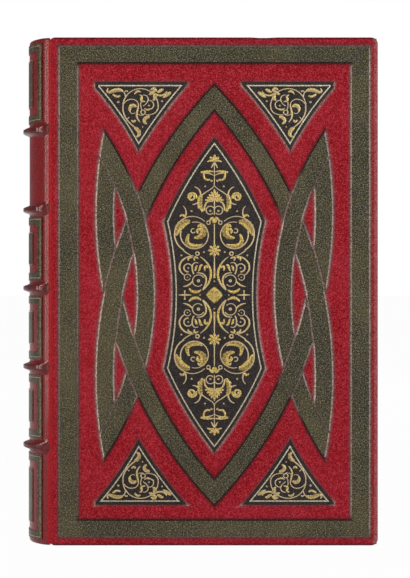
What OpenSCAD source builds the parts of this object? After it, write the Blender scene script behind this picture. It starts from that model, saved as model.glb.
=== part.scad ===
// A fine-bound book that stands upright on its tail edges. The front cover faces -Y,
// the spine is at -X, the fore edge at +X and the head of the book at +Z.
// The origin is the middle of the base, and all sizes are in millimetres.

/* [Covers] */
// Height of the covers, from tail edge to head edge
cover_h = 230; // [222:1:244]
// Width of a cover, from the joint to the fore edge
cover_w = 148; // [143:1:158]
// Thickness of the millboard in a cover
board_t = 3; // [2:0.1:4.5]
// Thickness of the leather over a board
leather_t = 0.6; // [0.4:0.1:0.9]
// Thickness of the leather turned in, and of the paper beside it
turn_in_t = 0.4; // [0.3:0.1:0.7]
// Width of the leather turned in along three inner edges
turn_in_w = 12; // [8:1:20]
// Corner radius of a cover at the fore edge
fore_corner_r = 2.3; // [1.8:0.1:4]
// Corner radius of a cover at the joint
joint_corner_r = 1.6; // [1.4:0.1:3]
// Rounding of the cover edges
edge_r = 1.1; // [0.6:0.1:1.3]

/* [Text block] */
// Thickness of the sewn pages
text_t = 30.4; // [24:0.2:38]
// Overhang of the covers past the pages at head, tail and fore edge
square_w = 3; // [2.6:0.1:4.5]
// Thickness of a flyleaf
flyleaf_t = 0.3; // [0.2:0.05:0.5]
// Gap between a flyleaf and its cover
swing_gap = 0.3; // [0.2:0.05:0.6]
// Gap between a cover and the spine leather at the joint
joint_gap = 0.4; // [0.3:0.05:0.8]

/* [Spine] */
// How far the rounded spine bulges past the joints
spine_bulge = 11; // [9:0.5:14]
// How far the spine leather lies below the cover faces at the joint
joint_drop = 0.4; // [0.2:0.1:1]
// Thickness of the spine leather
spine_skin_t = 1; // [0.8:0.1:1.2]
// Thickness of the paper lining on the back of the pages
lining_t = 0.7; // [0.4:0.1:1.2]
// Height of a raised band at the middle of the spine
band_h = 2.9; // [2.4:0.1:3.6]
// Width of a raised band at its foot
band_foot_w = 5; // [4.4:0.1:6.5]
// Width of the flat land on a raised band
band_land_w = 2.5; // [1.6:0.1:3.2]
// Number of raised bands
band_count = 5; // [3:1:5]
// Distance from the head of the book to the first band
head_panel_h = 41.5; // [36:0.5:46]
// Distance from the tail of the book to the last band
tail_panel_h = 44.5; // [38:0.5:48]
// Thickness of the leather cap over an endband
cap_t = 1.2; // [0.8:0.1:1.2]
// Depth of that cap towards the pages
cap_depth = 4; // [3:0.1:5]
// Radius of an endband
endband_r = 1.2; // [0.9:0.1:1.2]

/* [Spine panels] */
// Reach of a green panel frame round the spine, in degrees each way
panel_reach = 47.5; // [42:0.5:50]
// Width of the green strap of a panel frame
panel_strap_w = 3.6; // [2.6:0.1:4.2]
// Reach of the green field in the middle of a panel, in degrees each way
panel_field_reach = 26; // [15:1:29]
// Gap between a panel frame and the foot of a raised band
panel_gap = 1; // [0.6:0.1:2]
// Gap between a panel frame and the head or tail of the book
panel_end_gap = 2.2; // [1.6:0.1:5]
// Red margin between a panel's field and its frame, at top and bottom
panel_field_gap = 4; // [3:0.5:6]

/* [Leather onlays] */
// Thickness of the coloured leather laid on the covers and spine
onlay_t = 0.4; // [0.3:0.05:0.6]
// Width of the tooled line left where one strap passes under another
tooled_gap = 0.25; // [0.15:0.05:0.5]
// Margin from a cover's side edges to the border strap
border_side_margin = 3.6; // [2.6:0.1:6]
// Margin from a cover's head and tail edges to the border strap
border_end_margin = 3.9; // [2.6:0.1:6]
// Width of the border strap along the sides
border_side_w = 8.8; // [6:0.1:10]
// Width of the border strap at head and tail
border_end_w = 8; // [6:0.1:10]
// How far the strapwork's centre lies below the cover's centre
design_drop = 1.6; // [0:0.1:3]
// Width of the straps of the two crossed diamonds
diamond_strap_w = 8.3; // [6.5:0.1:9]
// Space between the border and the apex of a diamond
diamond_apex_gap = 7.7; // [6:0.1:11]
// Space between the border and a diamond at its widest
diamond_side_gap = 7.9; // [6:0.1:11]
// Space between the border at head or tail and the widest place of the farther diamond
diamond_bulge_gap = 66.1; // [62:0.1:70]
// Width of the two bowed side straps
bow_strap_w = 8.1; // [6.5:0.1:9]
// Distance from the centre to the nearest edge of a bowed strap
bow_reach = 26.9; // [25.5:0.1:29]
// Space between the border's sides and a bowed strap's tips
bow_tip_side_gap = 12; // [10.6:0.1:13.6]
// Space between the border at head or tail and those tips
bow_tip_end_gap = 28.9; // [26:0.1:32]

/* [Black plaques] */
// Thickness of the black leather plaques
plaque_t = 0.28; // [0.2:0.02:0.28]
// Thickness of the silver lines and gilding on the plaques
gilding_t = 0.1; // [0.06:0.02:0.12]
// Width of the silver lines
line_w = 0.55; // [0.4:0.05:0.8]
// Distance from a plaque's edge to its silver line
line_inset = 1.5; // [1.1:0.1:2]
// Red space between the diamonds and the centre plaque
plaque_diamond_gap = 7.6; // [6.8:0.1:8.6]
// Red space between the bowed straps and the centre plaque's waist
plaque_bow_gap = 7.9; // [7:0.1:9]
// Distance from the centre line to the corner plaques
corner_inner_x = 12.3; // [11.5:0.1:14]
// Red space between a diamond and a corner plaque
corner_diamond_gap = 8.7; // [7.8:0.1:9.6]
// Red space between a bowed strap and a corner plaque
corner_bow_gap = 8.4; // [7.5:0.1:9.3]
// Space between the border and a corner plaque at its side
corner_side_gap = 7.6; // [6.5:0.1:9]
// Space between the border and the upper corner plaques
corner_head_gap = 8.3; // [7:0.1:9.5]
// Space between the border and the lower corner plaques
corner_tail_gap = 6.6; // [6:0.1:8]

/* [Hidden] */
$fn = 96;
fit = 0.1;
hull_fn = 32;
strap_fn = 360;
past = 1;

// Colours, as the photograph shows them
red_leather = [0.60, 0.08, 0.14];
green_leather = [0.27, 0.28, 0.20];
black_leather = [0.10, 0.09, 0.07];
silver = [0.75, 0.72, 0.66];
gold = [0.80, 0.64, 0.30];
paper = [0.90, 0.85, 0.74];
millboard = [0.55, 0.47, 0.38];
cord_colour = [0.78, 0.70, 0.54];
silk = [0.72, 0.20, 0.20];

// Levels, measured outward from the middle plane of the pages
page_level = text_t / 2;
flyleaf_level = page_level + flyleaf_t;
cover_inner_level = flyleaf_level + swing_gap;
board_level = cover_inner_level + turn_in_t;
board_outer_level = board_level + board_t;
cover_level = board_outer_level + leather_t;
gilding_level = cover_level + plaque_t;
cover_t = cover_level - cover_inner_level;
// The middle plane moves back by half the onlays, so that the whole book is centred
mid_y = onlay_t / 2;

// Places along the width, from the tip of the bands to the fore edge
overall_w = band_h + spine_bulge + joint_gap + cover_w;
band_tip_x = -overall_w / 2;
spine_tip_x = band_tip_x + band_h;
spine_edge_x = spine_tip_x + spine_bulge;
hinge_x = spine_edge_x + joint_gap;
fore_x = hinge_x + cover_w;
cover_mid_x = hinge_x + cover_w / 2;

// The round of the spine: an arc through its tip and both joints
function arc_radius(half_chord, rise) = (half_chord * half_chord + rise * rise) / (2 * rise);
spine_half_t = cover_level - joint_drop;
spine_r = arc_radius(spine_half_t, spine_bulge);
spine_axis_x = spine_tip_x + spine_r;
skin_inner_r = spine_r - spine_skin_t;
lining_r = skin_inner_r - fit;
page_back_r = lining_r - lining_t - fit;
// Width of the flat lips beside the hollow fore edge, and distance from them to the hollow's axis
hollow_lip = 0.6;
hollow_dx = sqrt(spine_r * spine_r - pow(page_level - hollow_lip, 2));
band_r = arc_radius(spine_half_t, spine_bulge + band_h);
band_axis_x = band_tip_x + band_r;
cord_sink = 0.9;
cord_r = (band_h + cord_sink - fit) / 2;
cord_ring_r = band_r - spine_skin_t - cord_r;

// Heights of the pages, bands and panels
page_h = cover_h - 2 * square_w;
head_z = cover_h - square_w;
endband_flat = 0.5;
band_pitch = (cover_h - head_panel_h - tail_panel_h) / (band_count - 1);
function band_z(i) = cover_h - head_panel_h - (i - 1) * band_pitch;
function panel_top_z(i) = i == 1 ? cover_h - panel_end_gap : band_z(i - 1) - band_foot_w / 2 - panel_gap;
function panel_foot_z(i) = i > band_count ? panel_end_gap : band_z(i) + band_foot_w / 2 + panel_gap;

// The strapwork, measured from its own centre
border_out_x = cover_w / 2 - border_side_margin;
border_out_z = cover_h / 2 - border_end_margin;
border_in_x = border_out_x - border_side_w;
border_in_z = border_out_z - border_end_w;
diamond_apex_z = border_in_z - diamond_apex_gap;
diamond_reach_x = border_in_x - diamond_side_gap;
diamond_bulge_z = border_in_z - diamond_bulge_gap;
diamond_r = arc_radius(diamond_apex_z + diamond_bulge_z, diamond_reach_x);
bow_tip_x = border_in_x - bow_tip_side_gap;
bow_tip_z = border_in_z - bow_tip_end_gap;
bow_r = arc_radius(bow_tip_z, bow_tip_x - bow_reach);
diamond_mid = [diamond_reach_x - diamond_r, -diamond_bulge_z];
bow_mid = [bow_reach + bow_r, 0];
// Where an arc round the upper diamond's centre and one round the right bow's centre cross
function arcs_meet(a, ra, b, rb) = let (
    d = norm(b - a),
    along = (d * d + ra * ra - rb * rb) / (2 * d),
    across = sqrt(ra * ra - along * along),
    way = (b - a) / d
) a + along * way + across * [-way[1], way[0]];

// The plaques' edges run parallel to the straps
plaque_arc_r = diamond_r - diamond_strap_w - plaque_diamond_gap;
plaque_shoulder = arcs_meet(diamond_mid, plaque_arc_r, bow_mid, bow_r + plaque_bow_gap);
plaque_point_z = diamond_mid[1] + sqrt(plaque_arc_r * plaque_arc_r - diamond_mid[0] * diamond_mid[0]);
corner_apex = arcs_meet(diamond_mid, diamond_r + corner_diamond_gap, bow_mid, bow_r + corner_bow_gap);
corner_outer_x = border_in_x - corner_side_gap;
corner_mid_x = (corner_inner_x + corner_outer_x) / 2;
// Height of a corner plaque's base above (way 1) or below (way -1) the strapwork's centre
function corner_base_z(way) = border_in_z - (way > 0 ? corner_head_gap : corner_tail_gap) + way * design_drop;
// The ornament is drawn on grids with this many units to the plaques' half width and height
centre_grid_count = [23, 71.3];
corner_grid_count = [20.85, 31.5];
centre_unit = [plaque_shoulder[0] / centre_grid_count[0], plaque_point_z / centre_grid_count[1]];
function corner_unit(way) = [
    (corner_outer_x - corner_inner_x) / 2 / corner_grid_count[0],
    (corner_base_z(way) - corner_apex[1]) / corner_grid_count[1]
];

// Basic placing

// Puts a flat drawing of the front view on the front (side -1) or back (side 1) of the book
module lay_on(side, level, h) {
    y = side < 0 ? mid_y - level : mid_y + level + h;
    translate([0, y, 0]) rotate([90, 0, 0]) children();
}

module flat_on(side, level, h) {
    lay_on(side, level, h) linear_extrude(height = h) children();
}

// Moves a drawing to the cover's centre, or to the strapwork's centre below it
module at_cover_centre() {
    translate([cover_mid_x, cover_h / 2]) children();
}

module at_design_centre() {
    translate([cover_mid_x, cover_h / 2 - design_drop]) children();
}

// Extrudes a drawing of the plan view upward from a height
module plan_from(z, h) {
    translate([0, mid_y, z]) linear_extrude(height = h) children();
}

module both_sides() {
    children();
    mirror([1, 0]) children();
}

module both_ways() {
    intersection_for (way = [0, 1]) mirror([0, way]) children();
}

module four_ways() {
    both_sides() children();
    mirror([0, 1]) both_sides() children();
}

// The plan of everything left of the joints
module left_of_joints() {
    translate([2 * band_tip_x, -cover_h / 2]) square([spine_edge_x - 2 * band_tip_x, cover_h]);
}

module spine_disc(r) {
    translate([spine_axis_x, 0]) circle(r = r);
}

// Pages

module text_block() {
    color(paper) plan_from(square_w, page_h) difference() {
        union() {
            intersection() {
                spine_disc(page_back_r);
                left_of_joints();
            }
            translate([spine_edge_x - fit, -page_level])
                square([fore_x - square_w - spine_edge_x + fit, text_t]);
        }
        // The fore edge is hollow by the same round as the spine, between two flat lips
        translate([fore_x - square_w + hollow_dx, 0]) circle(r = spine_r);
    }
}

module flyleaf(side) {
    color(paper) flat_on(side, page_level, flyleaf_t)
        translate([spine_edge_x, square_w]) square([fore_x - square_w - spine_edge_x, page_h]);
}

module spine_lining() {
    color(millboard) plan_from(square_w, page_h) intersection() {
        difference() {
            spine_disc(lining_r);
            spine_disc(lining_r - lining_t);
        }
        left_of_joints();
    }
}

// One ring of cord round the band axis, thicker by extra
module cord_ring(z, extra) {
    translate([band_axis_x, mid_y, z]) rotate([0, 0, 90]) rotate_extrude(angle = 180)
        translate([cord_ring_r, 0]) circle(r = cord_r + extra, $fn = 32);
}

module sewing_cords() {
    color(cord_colour) difference() {
        for (i = [1 : band_count]) cord_ring(band_z(i), 0);
        plan_from(0, cover_h) spine_disc(lining_r + fit);
        plan_from(0, cover_h) translate([spine_edge_x, -cover_h / 2]) square(cover_h);
    }
}

// A rolled endband with a flat foot on the end of the pages
module endband_at(z, up) {
    translate([0, 0, z]) mirror([0, 0, up ? 0 : 1]) intersection() {
        translate([spine_axis_x, mid_y, endband_flat]) rotate([0, 0, 90]) rotate_extrude(angle = 180)
            translate([page_back_r - endband_r, 0]) circle(r = endband_r, $fn = 32);
        translate([band_tip_x, mid_y - page_level, 0])
            cube([spine_edge_x - band_tip_x, text_t, 2 * endband_r + endband_flat]);
    }
}

module head_endband() {
    color(silk) endband_at(head_z, true);
}

module tail_endband() {
    color(silk) endband_at(square_w, false);
}

// Spine

// Half outline of a raised band in section: reach from the band axis, and height from its middle
function band_section() = let (
    foot = band_foot_w / 2,
    land = band_land_w / 2,
    depth = band_r - band_h - spine_skin_t
) [
    [depth, -foot], [band_r - band_h, -foot], [band_r - 0.75 * band_h, -0.8 * foot],
    [band_r - 0.12 * band_h, -land], [band_r, -0.6 * land],
    [band_r, 0.6 * land], [band_r - 0.12 * band_h, land],
    [band_r - 0.75 * band_h, 0.8 * foot], [band_r - band_h, foot], [depth, foot]
];

module raised_band(z) {
    translate([band_axis_x, mid_y, z]) rotate([0, 0, 90]) rotate_extrude(angle = 180)
        polygon(band_section());
}

// The leather turned over the end of the spine
module headcap(z) {
    plan_from(z, cap_t) difference() {
        spine_disc(spine_r);
        translate([cap_depth, 0]) spine_disc(spine_r);
    }
}

module spine_leather() {
    color(red_leather) intersection() {
        union() {
            difference() {
                union() {
                    plan_from(0, cover_h) spine_disc(spine_r);
                    for (i = [1 : band_count]) raised_band(band_z(i));
                }
                plan_from(-past, cover_h + 2 * past) spine_disc(skin_inner_r);
                for (i = [1 : band_count]) cord_ring(band_z(i), fit);
            }
            headcap(0);
            headcap(cover_h - cap_t);
        }
        plan_from(-past, cover_h + 2 * past) left_of_joints();
    }
}

// The plan of all that lies within a number of degrees each way of the spine's middle
module wedge(reach) {
    far = 2 * spine_r;
    side = far * sin(reach);
    polygon([[0, 0], [-far * cos(reach), side], [-far, side], [-far, -side], [-far * cos(reach), -side]]);
}

// Part of a shell round the spine, reaching a number of degrees each way
module spine_shell(reach, z, h) {
    plan_from(z, h) intersection() {
        difference() {
            spine_disc(spine_r + onlay_t);
            spine_disc(spine_r);
        }
        translate([spine_axis_x, 0]) wedge(reach);
    }
}

module spine_panel(i) {
    if (i <= band_count + 1) panel_at(i);
}

module panel_at(i) {
    foot = panel_foot_z(i);
    top = panel_top_z(i);
    inner_reach = panel_reach - panel_strap_w / spine_r * 180 / PI;
    inset = panel_strap_w + panel_field_gap;
    color(green_leather) {
        difference() {
            spine_shell(panel_reach, foot, top - foot);
            translate([-onlay_t, 0, 0])
                window_cut(inner_reach, foot + panel_strap_w, top - foot - 2 * panel_strap_w);
        }
        spine_shell(panel_field_reach, foot + inset, top - foot - 2 * inset);
    }
}

// The wedge that opens the middle of a panel frame
module window_cut(reach, z, h) {
    plan_from(z, h) translate([spine_axis_x + onlay_t, 0]) wedge(reach);
}

// Covers

module board(side) {
    color(millboard) flat_on(side, board_level, board_t)
        translate([hinge_x, leather_t]) square([cover_w - leather_t, cover_h - 2 * leather_t]);
}

// A cover's outer form: its edges are rounded in steps, and its corners are round
module cover_form() {
    hull() for (a = [0 : 30 : 90]) {
        inset = edge_r * (1 - cos(a));
        sink = edge_r * (1 - sin(a));
        for (z = [0, 1]) translate([0, 0, sink]) {
            translate([fore_x - fore_corner_r, z * (cover_h - 2 * fore_corner_r) + fore_corner_r, 0])
                cylinder(r = fore_corner_r - inset, h = cover_t - 2 * sink, $fn = hull_fn);
            translate([hinge_x + joint_corner_r, z * (cover_h - 2 * joint_corner_r) + joint_corner_r, 0])
                cylinder(r = joint_corner_r - inset, h = cover_t - 2 * sink, $fn = hull_fn);
        }
    }
}

module cover_leather(side) {
    color(red_leather) difference() {
        lay_on(side, cover_inner_level, cover_t) cover_form();
        flat_on(side, board_level, board_t) translate([hinge_x - past, leather_t])
            square([cover_w - leather_t + past, cover_h - 2 * leather_t]);
        flat_on(side, cover_inner_level - past, turn_in_t + 2 * past) translate([hinge_x - past, turn_in_w])
            square([cover_w - turn_in_w + past, cover_h - 2 * turn_in_w]);
    }
}

module pastedown(side) {
    color(paper) flat_on(side, cover_inner_level, turn_in_t) translate([hinge_x, turn_in_w + fit])
        square([cover_w - turn_in_w - fit, cover_h - 2 * turn_in_w - 2 * fit]);
}

// Strapwork

module border_drawing() {
    difference() {
        square(2 * [border_out_x, border_out_z], center = true);
        square(2 * [border_in_x, border_in_z], center = true);
    }
}

// The round field inside a bowed strap's edge; side 1 is the fore-edge side
module bow_disc(side, r) {
    translate([side * bow_mid[0], 0]) circle(r = r, $fn = strap_fn);
}

// The round field inside a diamond's edge; way 1 has its apex at the head, way -1 at the tail
module diamond_disc(side, way, r) {
    translate([side * diamond_mid[0], way * diamond_mid[1]]) circle(r = r, $fn = strap_fn);
}

// The half of the cover above (way 1) or below (way -1) the strapwork's centre
module half_field(way) {
    mirror([0, way < 0 ? 1 : 0]) translate([-border_in_x, 0]) square([2 * border_in_x, border_in_z]);
}

// A bowed strap runs to points where the outer edges of the diamonds cut it off
module bow_drawing(side) {
    for (way = [-1, 1]) intersection() {
        difference() {
            bow_disc(side, bow_r);
            bow_disc(side, bow_r - bow_strap_w);
        }
        diamond_disc(side, -way, diamond_r);
        half_field(way);
    }
}

// One half of a diamond, from its apex to where it meets the tip of the bowed strap
module diamond_half(side, way) {
    intersection() {
        difference() {
            diamond_disc(side, way, diamond_r);
            diamond_disc(side, way, diamond_r - diamond_strap_w);
        }
        mirror([side < 0 ? 1 : 0, 0]) mirror([0, way < 0 ? 1 : 0])
            translate([0, -border_in_z]) square([border_in_x, 2 * border_in_z]);
        union() {
            half_field(way);
            bow_disc(side, bow_r - bow_strap_w);
        }
    }
}

// A strip as wide as a strap and its tooled lines, to cut what passes under it
module bow_cut(side) {
    difference() {
        bow_disc(side, bow_r + tooled_gap);
        bow_disc(side, bow_r - bow_strap_w - tooled_gap);
    }
}

module diamond_cut(side, way) {
    difference() {
        diamond_disc(side, way, diamond_r + tooled_gap);
        diamond_disc(side, way, diamond_r - diamond_strap_w - tooled_gap);
    }
}

// The upper diamond passes under the bows at the upper crossings and meets them at their lower tips
module upper_diamond_drawing() {
    for (side = [-1, 1]) difference() {
        diamond_half(side, 1);
        intersection() {
            bow_cut(side);
            half_field(1);
        }
    }
}

// The lower diamond passes over the bows at the lower crossings and under the upper diamond at the sides
module lower_diamond_drawing() {
    for (side = [-1, 1]) difference() {
        diamond_half(side, -1);
        diamond_cut(side, 1);
    }
}

module bow_strap_drawing(side) {
    difference() {
        bow_drawing(side);
        intersection() {
            diamond_cut(side, -1);
            half_field(-1);
        }
    }
}

module onlay(thickness) {
    flat_on(-1, cover_level, thickness) children();
}

module border_strap() {
    color(green_leather) onlay(onlay_t) at_cover_centre() border_drawing();
}

module upper_diamond_strap() {
    color(green_leather) onlay(onlay_t) at_design_centre() upper_diamond_drawing();
}

module lower_diamond_strap() {
    color(green_leather) onlay(onlay_t) at_design_centre() lower_diamond_drawing();
}

module bow_strap(side) {
    color(green_leather) onlay(onlay_t) at_design_centre() bow_strap_drawing(side);
}

// Black plaques

// The centre plaque's outline, drawn smaller by inset
module centre_drawing(inset) {
    difference() {
        intersection() {
            both_ways() diamond_disc(1, 1, plaque_arc_r - inset);
            both_ways() diamond_disc(-1, 1, plaque_arc_r - inset);
        }
        for (side = [-1, 1]) bow_disc(side, bow_r + plaque_bow_gap + inset);
    }
}

module centre_plaque() {
    color(black_leather) onlay(plaque_t) at_design_centre() centre_drawing(0);
}

module centre_line() {
    color(silver) flat_on(-1, gilding_level, gilding_t) at_design_centre() difference() {
        centre_drawing(line_inset);
        centre_drawing(line_inset + line_w);
    }
}

// A corner plaque's outline, drawn smaller by inset on all sides
module corner_drawing(side, way, inset) {
    difference() {
        mirror([side < 0 ? 1 : 0, 0]) mirror([0, way < 0 ? 1 : 0])
            translate([corner_inner_x + inset, diamond_bulge_z]) square([
                corner_outer_x - corner_inner_x - 2 * inset,
                corner_base_z(way) - inset - diamond_bulge_z
            ]);
        bow_disc(side, bow_r + corner_bow_gap + inset);
        diamond_disc(side, way, diamond_r + corner_diamond_gap + inset);
    }
}

// Corners are numbered 1 head joint, 2 head fore edge, 3 tail joint, 4 tail fore edge
function corner_side(i) = i % 2 == 0 ? 1 : -1;
function corner_way(i) = i < 3 ? 1 : -1;

module corner_plaque(i) {
    color(black_leather) onlay(plaque_t) at_design_centre() corner_drawing(corner_side(i), corner_way(i), 0);
}

module corner_line(i) {
    color(silver) flat_on(-1, gilding_level, gilding_t) at_design_centre() difference() {
        corner_drawing(corner_side(i), corner_way(i), line_inset);
        corner_drawing(corner_side(i), corner_way(i), line_inset + line_w);
    }
}

// Puts a drawing at the middle of a corner plaque's base, turned to its corner
module at_corner(i) {
    at_design_centre() mirror([corner_side(i) < 0 ? 1 : 0, 0]) mirror([0, corner_way(i) < 0 ? 1 : 0])
        translate([corner_mid_x, corner_base_z(corner_way(i))]) children();
}

// Gilding, drawn in grid units

// A shape with its points given on the plaque's grid
module drawn(points) {
    polygon([for (p = points) [p[0] * $unit[0], p[1] * $unit[1]]]);
}

// One side of a stroke that winds from radius r0 to r1, from angle a0 through turn degrees
function spiral_side(at, r, a0, turn, w, out, n) = [
    for (i = [0 : n]) let (
        t = out > 0 ? i / n : 1 - i / n,
        reach = r[0] + (r[1] - r[0]) * t + out * (w[0] + (w[1] - w[0]) * t) / 2,
        a = a0 + turn * t
    ) at + reach * [cos(a), sin(a)]
];

// A winding stroke round a place, with its radii and widths at start and end
module scroll(at, r, a0, turn, w = [0.6, 0.6], n = 8) {
    drawn(concat(spiral_side(at, r, a0, turn, w, 1, n), spiral_side(at, r, a0, turn, w, -1, n)));
}

function bezier(p, t) =
    pow(1 - t, 3) * p[0] + 3 * t * pow(1 - t, 2) * p[1] + 3 * t * t * (1 - t) * p[2] + pow(t, 3) * p[3];
function bezier_run(p, t) =
    pow(1 - t, 2) * (p[1] - p[0]) + 2 * t * (1 - t) * (p[2] - p[1]) + t * t * (p[3] - p[2]);

// A curved stroke or leaf along four control points, with its widths at start, middle and end
module stroke(p, w, n = 4) {
    drawn([
        for (s = [1, -1], i = [0 : n]) let (
            t = s > 0 ? i / n : 1 - i / n,
            width = w[0] * (1 - t) * (1 - 2 * t) + 4 * w[1] * t * (1 - t) + w[2] * t * (2 * t - 1),
            run = bezier_run(p, t)
        ) bezier(p, t) + s * width / 2 * [-run[1], run[0]] / norm(run)
    ]);
}

module dot(at, r = 0.6, n = 8) {
    drawn([for (a = [0 : n - 1]) at + r * [cos(360 * a / n), sin(360 * a / n)]]);
}

// A straight stem on the middle line that changes from width w0 to w1
module stem(z0, z1, w0 = 0.5, w1 = 0.5) {
    drawn([[-w0 / 2, z0], [w0 / 2, z0], [w1 / 2, z1], [-w1 / 2, z1]]);
}

// The finial at the plaque's point and the leafy crossbar under it
module finial_half() {
    stroke([[0, 62.5], [0.9, 62.9], [1.5, 62.2], [2.2, 61.3]], [1.2, 1.5, 0.5]);
    stroke([[0.3, 60.4], [1.2, 61], [2, 60.7], [3.3, 60.2]], [0.8, 1.1, 0.6], 3);
    stroke([[0, 59.9], [0.5, 59.2], [1, 58.2], [1.5, 57.3]], [0.5, 0.8, 0.3], 3);
    stroke([[0.2, 55.8], [2, 56], [4, 55.7], [6.2, 55.4]], [0.4, 1.3, 0.9]);
    stroke([[0.2, 54], [1.4, 54.7], [2.6, 55.1], [4.2, 55.2]], [0.4, 0.7, 0.9], 3);
    stroke([[4.7, 55.2], [5.2, 53], [4, 51.4], [1.9, 52.2]], [0.9, 1, 0.9], 5);
    dot([1.3, 51.6], 0.8);
    dot([4.2, 49.1], 0.65);
}

// The pointed arch, its leaves, and the palmette and volute inside it
module arch_half() {
    stroke([[0, 49.7], [0.8, 47.6], [3.6, 47.2], [5.9, 44.8]], [0.5, 0.6, 0.7], 5);
    stroke([[5.9, 45.6], [6.4, 43.8], [7.3, 41.4], [5.4, 37.6]], [0.9, 2.3, 0.9], 6);
    stroke([[2.7, 41.9], [4, 42.2], [4.4, 40.4], [4.7, 38]], [0.6, 0.9, 0.8]);
    stroke([[7.8, 41.7], [8.5, 41], [9.2, 40.9], [10, 40.9]], [0.5, 0.7, 0.3], 3);
    stroke([[6.2, 45.4], [6.4, 47.4], [7.4, 48.4], [9, 48.9]], [0.8, 0.7, 0.5]);
    scroll([9.9, 44.4], [2.4, 1.7], 165, -345, [0.7, 0.9], 11);
    dot([9.9, 44.3], 0.75);
    stroke([[0.2, 43.2], [1.4, 44.7], [2.7, 45], [4.6, 44.3]], [0.6, 1.3, 0.5]);
    stroke([[0.2, 44.4], [0.8, 45.8], [1.7, 46.4], [2.7, 45.9]], [0.6, 1.1, 0.4], 3);
    stroke([[0.3, 41.6], [0.9, 42.4], [1.6, 42.3], [2.2, 41.6]], [0.5, 0.7, 0.5], 3);
    scroll([1.9, 38.2], [2, 1.7], 150, -290);
    dot([1.8, 38], 0.8);
    dot([10.3, 37.9], 0.7);
}

// The great scroll, its leaves and the tendril over it
module great_scroll() {
    scroll([9.9, 27.5], [8, 8.2], 134, -196, [0.5, 0.8], 11);
    stroke([[14, 20.1], [12.8, 19], [11.6, 18.5], [10.2, 17.6]], [0.7, 0.6, 0.5], 3);
    scroll([8.8, 27.2], [5.8, 6.6], 76, 300, [0.5, 0.7], 15);
    stroke([[17.3, 26.8], [16.8, 30.8], [14.4, 33.2], [11, 33.1]], [0.8, 3.9, 1.7], 7);
    stroke([[13, 34.8], [13.6, 36.2], [15, 36.6], [15.6, 35.4]], [0.8, 1.2, 0.5]);
    stroke([[13.1, 35.6], [12.4, 37.6], [13, 39.4], [14.2, 40.3]], [0.8, 0.6, 0.4]);
    stroke([[5.4, 23], [8.4, 20.9], [14.6, 21.4], [11.5, 27.5]], [0.5, 2.6, 0.9], 8);
    stroke([[5.6, 31.4], [4.2, 29.2], [4.8, 25.6], [9.2, 25.9]], [2.2, 3.2, 0.8], 7);
    stroke([[4.8, 31], [6, 31.9], [7.2, 31.8], [7.5, 30.6]], [1, 1.2, 0.6]);
    stroke([[5.4, 29.4], [7, 30.2], [8.6, 29], [7.3, 27.8]], [1.2, 1.5, 0.6]);
    scroll([9.6, 29], [0.95, 0.95], -150, 270, [0.6, 0.6], 7);
    stroke([[0.3, 35], [1.2, 34.9], [1.8, 34.2], [2.2, 33.4]], [0.7, 1.2, 0.6], 3);
    scroll([2.7, 32.7], [0.8, 0.8], 0, 340, [0.6, 0.6], 7);
}

// The lesser scroll with its two curls and leaves
module lesser_scroll() {
    stroke([[6.4, 17.3], [1.2, 14], [-0.7, 7.4], [5.2, 2.2]], [0.4, 1.1, 0.6], 9);
    stroke([[9.4, 17.7], [15.4, 17.6], [18.3, 11.4], [13.2, 8.7]], [0.5, 0.9, 0.5], 8);
    stroke([[3, 12.2], [3.6, 13.7], [4.9, 12.6], [4.2, 10.9]], [0.6, 1.2, 0.5]);
    stroke([[5.2, 13.3], [6.6, 14.6], [6.2, 11.6], [7.3, 10.7]], [0.5, 1.1, 0.5]);
    stroke([[7.6, 13.2], [8.8, 12.8], [8, 11.6], [8.9, 10.9]], [0.6, 1.1, 0.5], 3);
    stroke([[7.3, 14.4], [9.6, 15.6], [11, 12.8], [9.3, 9.4]], [0.5, 0.7, 0.7], 6);
    scroll([12, 12.2], [2, 1.7], 200, -300, [0.6, 0.8], 9);
    dot([11.8, 12.2], 0.65);
    stroke([[5.3, 2.4], [2.4, 6.6], [3.6, 10.4], [8, 10]], [0.7, 0.9, 0.5], 6);
    scroll([7.3, 6.3], [2.9, 2.3], 150, -290, [0.6, 0.5], 10);
    dot([7.2, 6.4], 1.15);
    scroll([12.2, 8], [1.5, 1.3], 170, -330, [0.5, 0.5], 9);
    dot([12.2, 8], 0.5);
    stroke([[9.9, 6.2], [10.8, 4.8], [12.4, 3.9], [14.2, 3.8]], [0.6, 0.9, 0.4]);
    stroke([[6, 2.4], [7.2, 0.9], [9.8, 0.8], [11.5, 2.9]], [0.5, 1.4, 0.8], 5);
    stroke([[7.3, 16.4], [8.6, 17.8], [9.8, 16.6], [8.8, 15.5]], [0.5, 1.1, 0.5]);
    stroke([[9.9, 17], [11, 17], [12.4, 16.6], [11.6, 15.5]], [0.5, 1.1, 0.5]);
    scroll([7.7, 18.7], [0.8, 0.8], 0, 340, [0.7, 0.7], 7);
    dot([4.7, 19.4], 0.7);
    dot([14.9, 17.9], 0.7);
}

// One quarter of the centre plaque's ornament, towards the head and the fore edge
module centre_quarter() {
    finial_half();
    arch_half();
    great_scroll();
    lesser_scroll();
}

// The crossbar and dot beside the plaque's middle
module centre_side() {
    dot([6.5, 0]);
    stroke([[10.4, 0], [12, 0], [14.4, 0], [16.2, 0]], [0.4, 0.9, 0.4], 2);
    stroke([[13.4, -2.1], [13.4, -0.7], [13.4, 0.7], [13.4, 2.1]], [0.9, 0.5, 0.9], 2);
}

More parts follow.
